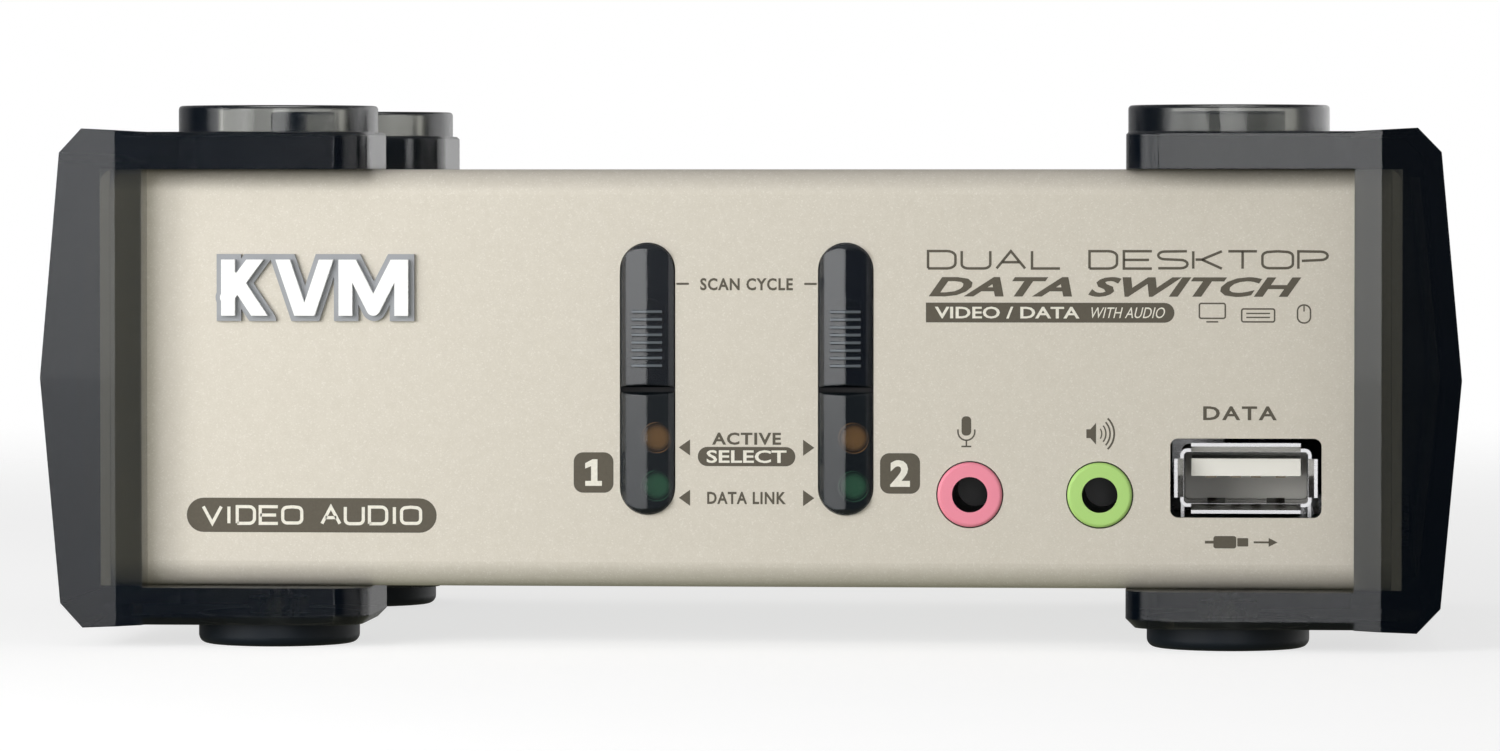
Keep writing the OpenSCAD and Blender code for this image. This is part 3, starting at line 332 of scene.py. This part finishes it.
FINISH = {
    "front_panel": PAINT, "top_cover": PAINT, "rear_panel": PAINT, "base_tray": STEEL,
    "left_bumper": SMOKE, "right_bumper": SMOKE, "rubber_feet": RUBBER,
    "bumper_screws": SCREW, "cover_screws": SCREW, "board_screws": SCREW,
    "badge_plate": BADGE_EDGE_SHADE, "badge_letters": BADGE_WHITE,
    "button_cap_1": CAP_SMOKE, "button_cap_2": CAP_SMOKE,
    "indicator_window_1": WINDOW_SMOKE, "indicator_window_2": WINDOW_SMOKE,
    "button_carrier": BLACK, "control_board": BOARD, "main_board": BOARD, "upper_board": BOARD,
    "tact_switches": SWITCH, "switch_plunger_1": CREAM, "switch_plunger_2": CREAM,
    "selected_leds": ORANGE_LAMP, "link_leds": GREEN_LAMP,
    "control_header": BLACK, "board_link": BLACK, "controller_chips": BLACK,
    "front_usb_shell": DULL_SHELL, "rear_usb_shell": CHROME, "crystal": CHROME, "ps2_shields": CHROME,
    "monitor_port_shell": CHROME, "computer_port_shells": CHROME, "port_jackscrews": CHROME,
    "power_pin": CHROME, "firmware_switch": CHROME,
    "front_usb_tongue": WHITE, "rear_usb_tongues": WHITE, "front_usb_contacts": DARK_BROWN_CONTACT,
    "mic_socket": PINK, "rear_mic_socket": PINK, "speaker_socket": GREEN, "rear_speaker_socket": GREEN,
    "mouse_socket": GREEN, "keyboard_socket": PURPLE, "ps2_cores": BLACK,
    "monitor_port_core": BLUE, "computer_port_cores": YELLOW,
    "firmware_socket": BLACK, "power_socket": BLACK, "firmware_knob": BLACK,
    "board_standoffs": BRASS, "board_spacers": BRASS, "capacitors": SLEEVE,
}


def finish_cad_nodes():
    """Every CAD node keeps its shape and gets its material."""
    for name, node in nodes.items():
        node.data.materials.clear()
        node.data.materials.append(FINISH[name])


# ---------------------------------------------------------------- flat outlines, in metres on a panel


def arc(cx, cy, radius, start, end, steps=10):
    """Points along an arc; angles in degrees."""
    angles = [math.radians(start + (end - start) * i / steps) for i in range(steps + 1)]
    return [(cx + radius * math.cos(a), cy + radius * math.sin(a)) for a in angles]


def rounded(width, height, radius, cx=0.0, cy=0.0, steps=8):
    """Outline of a rectangle with round corners."""
    x, y = width / 2 - radius, height / 2 - radius
    corners = [(x, y, 0), (-x, y, 90), (-x, -y, 180), (x, -y, 270)]
    return [p for u, v, a in corners for p in arc(cx + u, cy + v, radius, a, a + 90, steps)]


def ribbon(path, width):
    """Outline of an open path drawn with a pen of this width, with mitred joints and square ends."""
    points = [Vector(p) for p in path]
    left, right = [], []
    for i, p in enumerate(points):
        before = (p - points[i - 1]).normalized() if i > 0 else None
        after = (points[i + 1] - p).normalized() if i < len(points) - 1 else None
        a, b = before or after, after or before
        normal = (Vector((-a.y, a.x)) + Vector((-b.y, b.x))).normalized()
        reach = width / 2 / max(0.35, normal.dot(Vector((-a.y, a.x))))
        left.append(tuple(p + normal * reach))
        right.append(tuple(p - normal * reach))
    return right + left[::-1]


def shifted(outline, dx, dy, scale=1.0):
    return [(x * scale + dx, y * scale + dy) for x, y in outline]


def frame_line(width, height, radius, cx, cy, pen=0.16):
    """Outline of a round-cornered rectangle drawn with a pen, all in millimetres but the centre."""
    path = rounded(width * MM, height * MM, radius * MM, cx, cy)
    return ribbon(path + path[:1], pen * MM)


def print_object(name, outlines, material, layer=1, back=False):
    """One closed thin mesh of all these outlines, printed on the front or the rear panel."""
    lift, thick = 0.012 * MM * layer, 0.012 * MM
    bm = bmesh.new()
    for outline in outlines:
        ring = [bm.verts.new((x, 0.0, z)) for x, z in outline]
        face = bm.faces.new(ring)
        extruded = bmesh.ops.extrude_face_region(bm, geom=[face])
        moved = [e for e in extruded["geom"] if isinstance(e, bmesh.types.BMVert)]
        bmesh.ops.translate(bm, verts=moved, vec=(0, thick, 0))
    bmesh.ops.triangulate(bm, faces=[f for f in bm.faces if len(f.verts) > 4])
    bmesh.ops.recalc_face_normals(bm, faces=bm.faces)
    mesh = bpy.data.meshes.new(name)
    bm.to_mesh(mesh)
    bm.free()
    base = REAR_Y + lift - thick if back else FRONT_Y - lift
    mesh.transform(Matrix.Translation((0, base, 0)))
    return place_piece(name, mesh, material)


def place_piece(name, mesh, material, body="root"):
    piece = bpy.data.objects.new(name, mesh)
    bpy.context.scene.collection.objects.link(piece)
    mesh.materials.append(material)
    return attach(piece, body)


def text_object(
    name, words, x, z, width, height, material, layer=1, bold=0.0, slant=0.0, spacing=1.0, back=False
):
    """Words centred on (x, z), fitted to a width and a cap height, as a thin closed mesh."""
    curve = bpy.data.curves.new(name, "FONT")
    curve.body = words
    curve.size = 1.0
    curve.offset = bold
    curve.shear = slant
    curve.space_character = spacing
    curve.extrude = 0.5
    curve.resolution_u = 3
    holder = bpy.data.objects.new(name, curve)
    bpy.context.scene.collection.objects.link(holder)
    bpy.context.view_layer.update()
    mesh = bpy.data.meshes.new_from_object(holder.evaluated_get(bpy.context.evaluated_depsgraph_get()))
    bpy.data.objects.remove(holder)
    bpy.data.curves.remove(curve)
    xs = [v.co.x for v in mesh.vertices]
    ys = [v.co.y for v in mesh.vertices]
    low, high = Vector((min(xs), min(ys))), Vector((max(xs), max(ys)))
    size = high - low
    lift, thick = 0.012 * MM * layer, 0.012 * MM
    turn = -1 if back else 1
    y = REAR_Y + lift if back else FRONT_Y - lift
    for v in mesh.vertices:
        u = (v.co.x - (low.x + high.x) / 2) / size.x * width
        w = (v.co.y - (low.y + high.y) / 2) / size.y * height
        v.co = Vector((x + turn * u, y - turn * v.co.z * thick, z + w))
    mesh.materials.clear()
    bm = bmesh.new()
    bm.from_mesh(mesh)
    bmesh.ops.remove_doubles(bm, verts=bm.verts, dist=1e-8)
    bmesh.ops.recalc_face_normals(bm, faces=bm.faces)
    bm.to_mesh(mesh)
    bm.free()
    return place_piece(name, mesh, material)


# ---------------------------------------------------------------- front prints


def button_labels():
    """Ticks, words, triangles and port numbers round the two button columns."""
    column = centre("button_cap_2").x
    half = (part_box("button_cap_2")[1].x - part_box("button_cap_2")[0].x) / 2 - 0.9 * MM
    up = lambda mm: MID_Z + mm * MM
    tick = rounded(1.3 * MM, 0.22 * MM, 0.1 * MM)
    ticks = [shifted(tick, s * (column - half - 0.75 * MM), up(9.62)) for s in (-1, 1)]
    arrows = []
    for z in (-6.95, -12.05):
        for s in (-1, 1):
            tip = column - half - 0.35 * MM
            root = tip - 1.15 * MM
            arrows.append([(s * tip, up(z)), (s * root, up(z + 0.82)), (s * root, up(z - 0.82))])
    pill = rounded(9.9 * MM, 1.95 * MM, 0.97 * MM, 0.0, up(-7.86))
    badges = [rounded(4.05 * MM, 4.1 * MM, 0.95 * MM, s * 15.55 * MM, up(-9.52)) for s in (-1, 1)]
    print_object("print_button_marks", ticks + arrows + [pill] + badges, INK)
    text_object("print_scan", "SCAN CYCLE", 0.0, up(9.58), 9.4 * MM, 1.25 * MM, INK, bold=0.028, spacing=1.12)
    text_object("print_active", "ACTIVE", 0.0, up(-6.05), 7.0 * MM, 1.25 * MM, INK, bold=0.028, spacing=1.12)
    text_object("print_select", "SELECT", 0.0, up(-7.86), 8.1 * MM, 1.3 * MM, PALE_INK, 2, 0.02)
    text_object("print_link", "DATA LINK", 0.0, up(-12.05), 8.0 * MM, 1.25 * MM, INK, bold=0.028, spacing=1.12)
    one = [(-0.85, -1.35), (0.85, -1.35), (0.85, -0.85), (0.4, -0.85), (0.4, 1.35), (-0.1, 1.35),
           (-0.85, 0.95), (-0.85, 0.4), (-0.25, 0.65), (-0.25, -0.85), (-0.85, -0.85)]
    print_object("print_number_1", [shifted(one, -15.55 * MM, up(-9.52), MM)], PALE_INK, 2)
    text_object("print_number_2", "2", 15.55 * MM, up(-9.52), 2.0 * MM, 2.7 * MM, PALE_INK, 2, 0.04)


def socket_pictograms():
    """Microphone, loudspeaker and plug signs at the front sockets."""
    mic, speaker, usb = centre("mic_socket"), centre("speaker_socket"), centre("front_usb_shell")
    up = lambda mm: MID_Z + mm * MM
    mx, mz = mic.x - 0.35 * MM, up(-5.15)
    reach, cup_top = 0.85 * MM, mz + 0.1 * MM
    cup = [(mx - reach, cup_top), *arc(mx, mz - 0.15 * MM, reach, 180, 360, 12), (mx + reach, cup_top)]
    signs = [
        rounded(0.98 * MM, 1.95 * MM, 0.42 * MM, mx, mz + 0.45 * MM),
        ribbon(cup, 0.16 * MM),
        ribbon([(mx, mz - 0.95 * MM), (mx, mz - 1.6 * MM)], 0.16 * MM),
        ribbon([(mx - 0.5 * MM, mz - 1.62 * MM), (mx + 0.5 * MM, mz - 1.62 * MM)], 0.16 * MM),
    ]
    sx, sz = speaker.x - 1.35 * MM, up(-5.45)
    horn = [(0, -0.45), (0, 0.45), (0.4, 0.45), (0.98, 1.1), (0.98, -1.1), (0.4, -0.45)]
    signs.append(shifted(horn, sx, sz, MM))
    for k in range(4):
        radius = (0.9 + 0.42 * k) * MM
        signs.append(ribbon(arc(sx + 0.65 * MM, sz, radius, -34 - 4 * k, 34 + 4 * k, 10), (0.13 + 0.02 * k) * MM))
    ux, uz = usb.x - 0.2 * MM, up(-16.35)
    signs.append(rounded(2.3 * MM, 1.25 * MM, 0.25 * MM, ux - 1.9 * MM, uz))
    signs.append(rounded(1.1 * MM, 0.85 * MM, 0.08 * MM, ux - 0.1 * MM, uz))
    signs.append(ribbon([(ux - 3.05 * MM, uz), (ux - 3.9 * MM, uz)], 0.28 * MM))
    signs.append(ribbon([(ux + 1.0 * MM, uz), (ux + 2.6 * MM, uz)], 0.2 * MM))
    signs.append([(ux + 3.4 * MM, uz), (ux + 2.5 * MM, uz + 0.45 * MM), (ux + 2.5 * MM, uz - 0.45 * MM)])
    print_object("print_socket_signs", signs, INK)
    text_object("print_data", "DATA", usb.x - 0.6 * MM, up(-3.35), 7.4 * MM, 1.4 * MM, INK, bold=0.022, spacing=1.2)


# Wide technical letters drawn as pen paths on a unit square
LETTER_PATHS = {
    "K": [[(0, 1), (0, 0)], [(1, 1), (0.3, 0.52), (0.08, 0.52)], [(0.3, 0.52), (1, 0)]],
    "L": [[(0.02, 1), (0.02, 0), (1, 0)]],
    "S": [[(1, 1), *arc(0.22, 0.76, 0.22, 90, 270, 8), *arc(0.78, 0.26, 0.24, 90, -90, 8), (0, 0.02)]],
    "T": [[(0, 1), (1, 1)], [(0.5, 1), (0.5, 0)]],
    "O": [[(0.5, 1), *arc(0.78, 0.72, 0.25, 90, 0, 5), *arc(0.78, 0.28, 0.25, 0, -90, 5),
           *arc(0.22, 0.28, 0.25, -90, -180, 5), *arc(0.22, 0.72, 0.25, 180, 90, 5), (0.5, 1)]],
    "P": [[(0, 0), (0, 1), *arc(0.78, 0.74, 0.24, 90, -90, 8), (0.12, 0.45)]],
    "V": [[(0, 1), (0.5, 0), (1, 1)]],
    "I": [[(0.5, 1), (0.5, 0)]],
    "D": [[(0.04, 0), (0.04, 1), *arc(0.7, 0.7, 0.3, 90, 0, 5), *arc(0.7, 0.3, 0.3, 0, -90, 5), (0.04, 0)]],
    "E": [[(1, 1), (0.02, 1), (0.02, 0), (1, 0)], [(0.02, 0.5), (0.9, 0.5)]],
    "A": [[(0, 0), (0.5, 1), (1, 0)], [(0.2, 0.36), (0.8, 0.36)]],
    "U": [[(0, 1), *arc(0.24, 0.24, 0.24, 180, 270, 5), *arc(0.76, 0.24, 0.24, 270, 360, 5), (1, 1)]],
}


def wide_words(words, x0, x1, z0, height, pen, gap=0.22, narrow="I"):
    """Outlines of words in the wide technical letters, spread between x0 and x1."""
    widths = [0.55 if c == " " else 0.25 if c in narrow else 1.0 for c in words]
    unit = (x1 - x0) / (sum(widths) + gap * (len(words) - 1))
    outlines, x = [], x0
    for c, width in zip(words, widths):
        for path in LETTER_PATHS.get(c, []):
            points = [(x + u * width * unit, z0 + v * height) for u, v in path]
            outlines.append(ribbon(points, pen))
        x += (width + gap) * unit
    return outlines


def title_block():
    """Generic title at the upper right: thin wide words, bold slanted words and a filled bar with pale words."""
    left, right = 18.15 * MM, 58.6 * MM
    up = lambda mm: MID_Z + mm * MM
    thin = wide_words("DUAL DESKTOP", left + 0.1 * MM, right - 0.1 * MM, up(11.2), 1.75 * MM, 0.26 * MM)
    bar_end = 43.2 * MM
    bar = [(left, up(5.75)), *arc(bar_end - 1.0 * MM, up(6.75), 1.0 * MM, -90, 90, 12), (left, up(7.75))]
    screen_x = 47.0 * MM
    signs = [
        frame_line(2.6, 1.5, 0.2, screen_x, up(6.95)),
        ribbon([(screen_x - 0.6 * MM, up(5.85)), (screen_x + 0.6 * MM, up(5.85))], 0.16 * MM),
    ]
    key_x = 51.6 * MM
    signs.append(frame_line(3.3, 1.3, 0.2, key_x, up(6.5)))
    signs += [ribbon([(key_x - 1.2 * MM, up(z)), (key_x + 1.2 * MM, up(z))], 0.14 * MM) for z in (6.3, 6.7)]
    mouse_x = 56.2 * MM
    signs.append(frame_line(1.3, 1.8, 0.6, mouse_x, up(6.65)))
    signs.append(ribbon([(mouse_x, up(7.45)), (mouse_x, up(6.9))], 0.14 * MM))
    print_object("print_title", thin + [bar] + signs, INK)
    text_object(
        "print_title_bold", "DATA SWITCH", (left + right) / 2 - 1.2 * MM, up(9.35), 37.5 * MM, 2.0 * MM, INK,
        bold=0.035, slant=0.35, spacing=1.05,
    )
    text_object("print_bar_wide", "VIDEO / DATA", left + 8.2 * MM, up(6.75), 14.6 * MM, 1.2 * MM, PALE_INK, 2, 0.02)
    text_object("print_bar_small", "WITH AUDIO", left + 20.4 * MM, up(6.75), 7.4 * MM, 1.1 * MM, PALE_INK, 2, 0.0, 0.3)


def corner_pill():
    """Dark pill at the lower left with pale wide words."""
    x, z = -44.35 * MM, MID_Z - 13.95 * MM
    print_object("print_pill", [rounded(25.6 * MM, 3.5 * MM, 1.75 * MM, x, z)], INK)
    words = wide_words("VIDEO AUDIO", x - 11.1 * MM, x + 11.1 * MM, z - 0.85 * MM, 1.7 * MM, 0.32 * MM, 0.3)
    print_object("print_pill_words", words, PALE_INK, 2)


def rear_words():
    """Plain words over the rear connectors."""
    over = lambda node, lift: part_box(node)[1].z + lift * MM
    monitor_x = centre("monitor_port_shell").x
    second_x = 2 * centre("computer_port_shells").x - monitor_x
    audio_x = (centre("rear_speaker_socket").x + centre("rear_mic_socket").x) / 2
    service_x = (centre("firmware_socket").x + centre("firmware_switch").x) / 2
    row = over("computer_port_shells", 2.2)
    words = [
        ("pc_1", "PC 1", monitor_x, row, 4.6),
        ("pc_2", "PC 2", second_x, row, 4.6),
        ("monitor", "MONITOR", monitor_x, over("monitor_port_shell", 0.9), 9.5),
        ("data", "DATA", centre("rear_usb_shell").x, over("rear_usb_shell", 2.3), 5.6),
        ("input", "INPUT", centre("mouse_socket").x, over("mouse_socket", 2.2), 6.4),
        ("audio", "AUDIO", audio_x, over("rear_mic_socket", 2.4), 7.0),
        ("service", "SERVICE", service_x, over("firmware_socket", 2.4), 8.2),
        ("power", "DC IN", centre("power_socket").x - 1.0 * MM, over("power_socket", 2.0), 5.6),
    ]
    for name, text, x, z, width in words:
        text_object(f"print_rear_{name}", text, x, z, width * MM, 1.3 * MM, INK, bold=0.012, spacing=1.1, back=True)


def grip_ribs(number):
    """Fine raised ribs across the roof of a button, for the fingertip, in a lighter grey that paints a highlight along
    each rib.
    """
    low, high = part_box(f"button_cap_{number}")
    ridge_y, slope = low.y + 0.12 * MM, math.tan(math.radians(14))
    x, half = (low.x + high.x) / 2, 1.55 * MM
    height, proud, shoulder, sunk = 0.34 * MM, 0.16 * MM, 0.06 * MM, 0.05 * MM
    bm = bmesh.new()
    for i in range(8):
        z = low.z + (2.03 + 0.78 * i) * MM
        rings = []
        for u in (-half, 0.0, half):
            y = ridge_y + abs(u) * slope
            corners = [(y + sunk, z), (y - proud, z + shoulder)]
            corners += [(y - proud, z + height - shoulder), (y + sunk, z + height)]
            rings.append([bm.verts.new((x + u, v, w)) for v, w in corners])
        for a, b in zip(rings, rings[1:]):
            for k in range(4):
                bm.faces.new((a[k], a[(k + 1) % 4], b[(k + 1) % 4], b[k]))
        bm.faces.new(rings[0])
        bm.faces.new(rings[-1][::-1])
    bmesh.ops.recalc_face_normals(bm, faces=bm.faces)
    mesh = bpy.data.meshes.new(f"grip_{number}")
    bm.to_mesh(mesh)
    bm.free()
    place_piece(f"grip_{number}", mesh, RIB_PAINTED_HIGHLIGHT, f"button_{number}")


# ---------------------------------------------------------------- light, floor and camera

# Brightness that reflections meet at each azimuth in degrees, as soft boxes and black flags give
BAND_PEAK = 3.4
REFLECTED_BANDS = [
    (-180, 0.35), (-125, 0.30), (-108, 0.05), (-84, 0.05), (-76, 2.0), (-62, 3.2), (-48, 2.2),
    (-38, 3.2), (-28, 3.4), (-23, 0.10), (-7, 0.05), (-3, 3.4), (16, 3.4), (23, 0.05),
    (42, 0.05), (52, 0.6), (95, 1.1), (115, 2.3), (150, 1.6), (180, 0.35),
]


def studio_world():
    """White room to the eye; softer light from all round; bright and dark bands for reflections only."""
    world = bpy.data.worlds.new("studio")
    bpy.context.scene.world = world
    t = Tree(world)
    direction = t.add("ShaderNodeTexCoord").outputs["Generated"]
    axes = t.add("ShaderNodeSeparateXYZ", Vector=direction).outputs
    # Azimuth of the ray, 0 towards the viewer's side (-Y), positive towards +X, as a share of a turn
    azimuth = t.math("ARCTAN2", axes[0], t.math("MULTIPLY", axes[1], -1.0))
    share = t.math("MULTIPLY_ADD", azimuth, 1 / (2 * math.pi), 0.5)
    turn = lambda degrees: 0.5 + degrees / 360
    bands = t.ramp(share, [(turn(a), level / BAND_PEAK) for a, level in REFLECTED_BANDS])
    bands = t.mix_colour(1.0, bands, (BAND_PEAK, BAND_PEAK, BAND_PEAK), "MULTIPLY")
    rise = t.math("MULTIPLY_ADD", axes[2], 0.5, 0.5)
    ceiling = t.ramp(rise, [(0.0, 0.0), (0.66, 0.0), (0.80, 1.0), (1.0, 1.0)])
    mirrored = t.mix_colour(ceiling, bands, (0.3, 0.3, 0.3))
    ground = t.ramp(rise, [(0.0, 1.0), (0.30, 1.0), (0.45, 0.0), (1.0, 0.0)])
    mirrored = t.mix_colour(ground, mirrored, (0.30, 0.31, 0.24))
    floor_tint, low_tint = (0.20, 0.21, 0.15), (0.30, 0.31, 0.25)
    around = t.ramp(rise, [(0.0, floor_tint), (0.35, low_tint), (0.5, 0.50), (0.7, 0.38), (1.0, 0.16)])
    # Bright above the table's far edge, dimmer below it, so that a slight lean of a face shows
    edge = t.ramp(rise, [(0.0, 0.45), (0.4806, 0.45), (0.4915, 1.0), (1.0, 1.0)])
    mirrored = t.mix_colour(1.0, mirrored, edge, "MULTIPLY")
    path = t.add("ShaderNodeLightPath").outputs
    soft = t.mix_colour(path["Is Glossy Ray"], around, mirrored)
    shown = t.mix_colour(path["Is Camera Ray"], soft, (1.0, 1.0, 1.0))
    background = t.add("ShaderNodeBackground", Color=shown, Strength=1.0)
    t.add("ShaderNodeOutputWorld", Surface=background.outputs[0])


def soft_box(name, azimuth, elevation, distance, size, watts, target):
    """Square area light aimed at the object."""
    a, e = math.radians(azimuth), math.radians(elevation)
    towards = Vector((math.sin(a) * math.cos(e), -math.cos(a) * math.cos(e), math.sin(e)))
    lamp = bpy.data.lights.new(name, "AREA")
    lamp.size = size
    lamp.energy = watts
    holder = bpy.data.objects.new(name, lamp)
    bpy.context.scene.collection.objects.link(holder)
    holder.location = target + towards * distance
    holder.rotation_mode = "QUATERNION"
    holder.rotation_quaternion = (-towards).to_track_quat("-Z", "Y")
    return holder


def pale_floor():
    """Round pale floor that fades into the white room towards its edge, with only a light shadow."""
    radius, sides = 1.2, 96
    bm = bmesh.new()
    bmesh.ops.create_circle(bm, cap_ends=True, segments=sides, radius=radius)
    mesh = bpy.data.meshes.new("floor")
    bm.to_mesh(mesh)
    bm.free()
    floor = bpy.data.objects.new("floor", mesh)
    bpy.context.scene.collection.objects.link(floor)
    material, t = new_material("floor_pale")
    spread = t.add("ShaderNodeVectorMath", {"operation": "LENGTH"}, i0=t.place()).outputs["Value"]
    fade = t.ramp(t.math("DIVIDE", spread, radius), [(0.0, 0.0), (0.16, 0.0), (0.55, 1.0), (1.0, 1.0)], smooth=True)
    grain = t.noise(60.0, 3.0)
    lit = t.add("ShaderNodeBsdfDiffuse", Color=t.mix_colour(grain, (0.42, 0.42, 0.42), (0.44, 0.44, 0.44)))
    glow = t.add("ShaderNodeEmission", Color=(1.0, 1.0, 1.0), Strength=0.70)
    pale = t.add("ShaderNodeAddShader")
    t.feed(pale.inputs[0], lit.outputs[0])
    t.feed(pale.inputs[1], glow.outputs[0])
    mix = t.add("ShaderNodeMixShader", Fac=fade)
    t.feed(mix.inputs[1], pale.outputs[0])
    t.feed(mix.inputs[2], t.add("ShaderNodeBsdfTransparent").outputs[0])
    finish_material(t, mix.outputs[0])
    mesh.materials.append(material)
    floor.visible_glossy = False
    floor.visible_diffuse = False


def camera():
    """Long lens a little to the right of square-on, level with the top of the case."""
    azimuth, elevation, distance = math.radians(4.2), math.radians(1.6), 0.70
    seen_width, sensor = 151.73 * MM, 36.0
    level = math.cos(elevation)
    back = Vector((math.sin(azimuth) * level, -math.cos(azimuth) * level, math.sin(elevation)))
    target = Vector((0.35 * MM, FRONT_Y, MID_Z + 0.35 * MM))
    data = bpy.data.cameras.new("camera")
    data.sensor_width = sensor
    data.lens = sensor * distance / seen_width
    data.clip_start = 0.01
    data.clip_end = 20.0
    holder = bpy.data.objects.new("camera", data)
    bpy.context.scene.collection.objects.link(holder)
    holder.location = target + back * distance
    holder.rotation_mode = "QUATERNION"
    holder.rotation_quaternion = (-back).to_track_quat("-Z", "Y")
    bpy.context.scene.camera = holder


# ---------------------------------------------------------------- build

finish_cad_nodes()
button_labels()
socket_pictograms()
title_block()
corner_pill()
rear_words()
for number in (1, 2):
    grip_ribs(number)

studio_world()
pale_floor()
middle = Vector((0, 0, MID_Z))
soft_box("key_left", -36, 8, 0.42, 0.3, 1.75, middle).visible_glossy = False
soft_box("fill_right", 60, 18, 1.0, 0.6, 0.4, middle)
soft_box("top", 0, 70, 0.9, 0.7, 0.04, middle)
camera()
bpy.context.scene.view_settings.view_transform = "Standard"
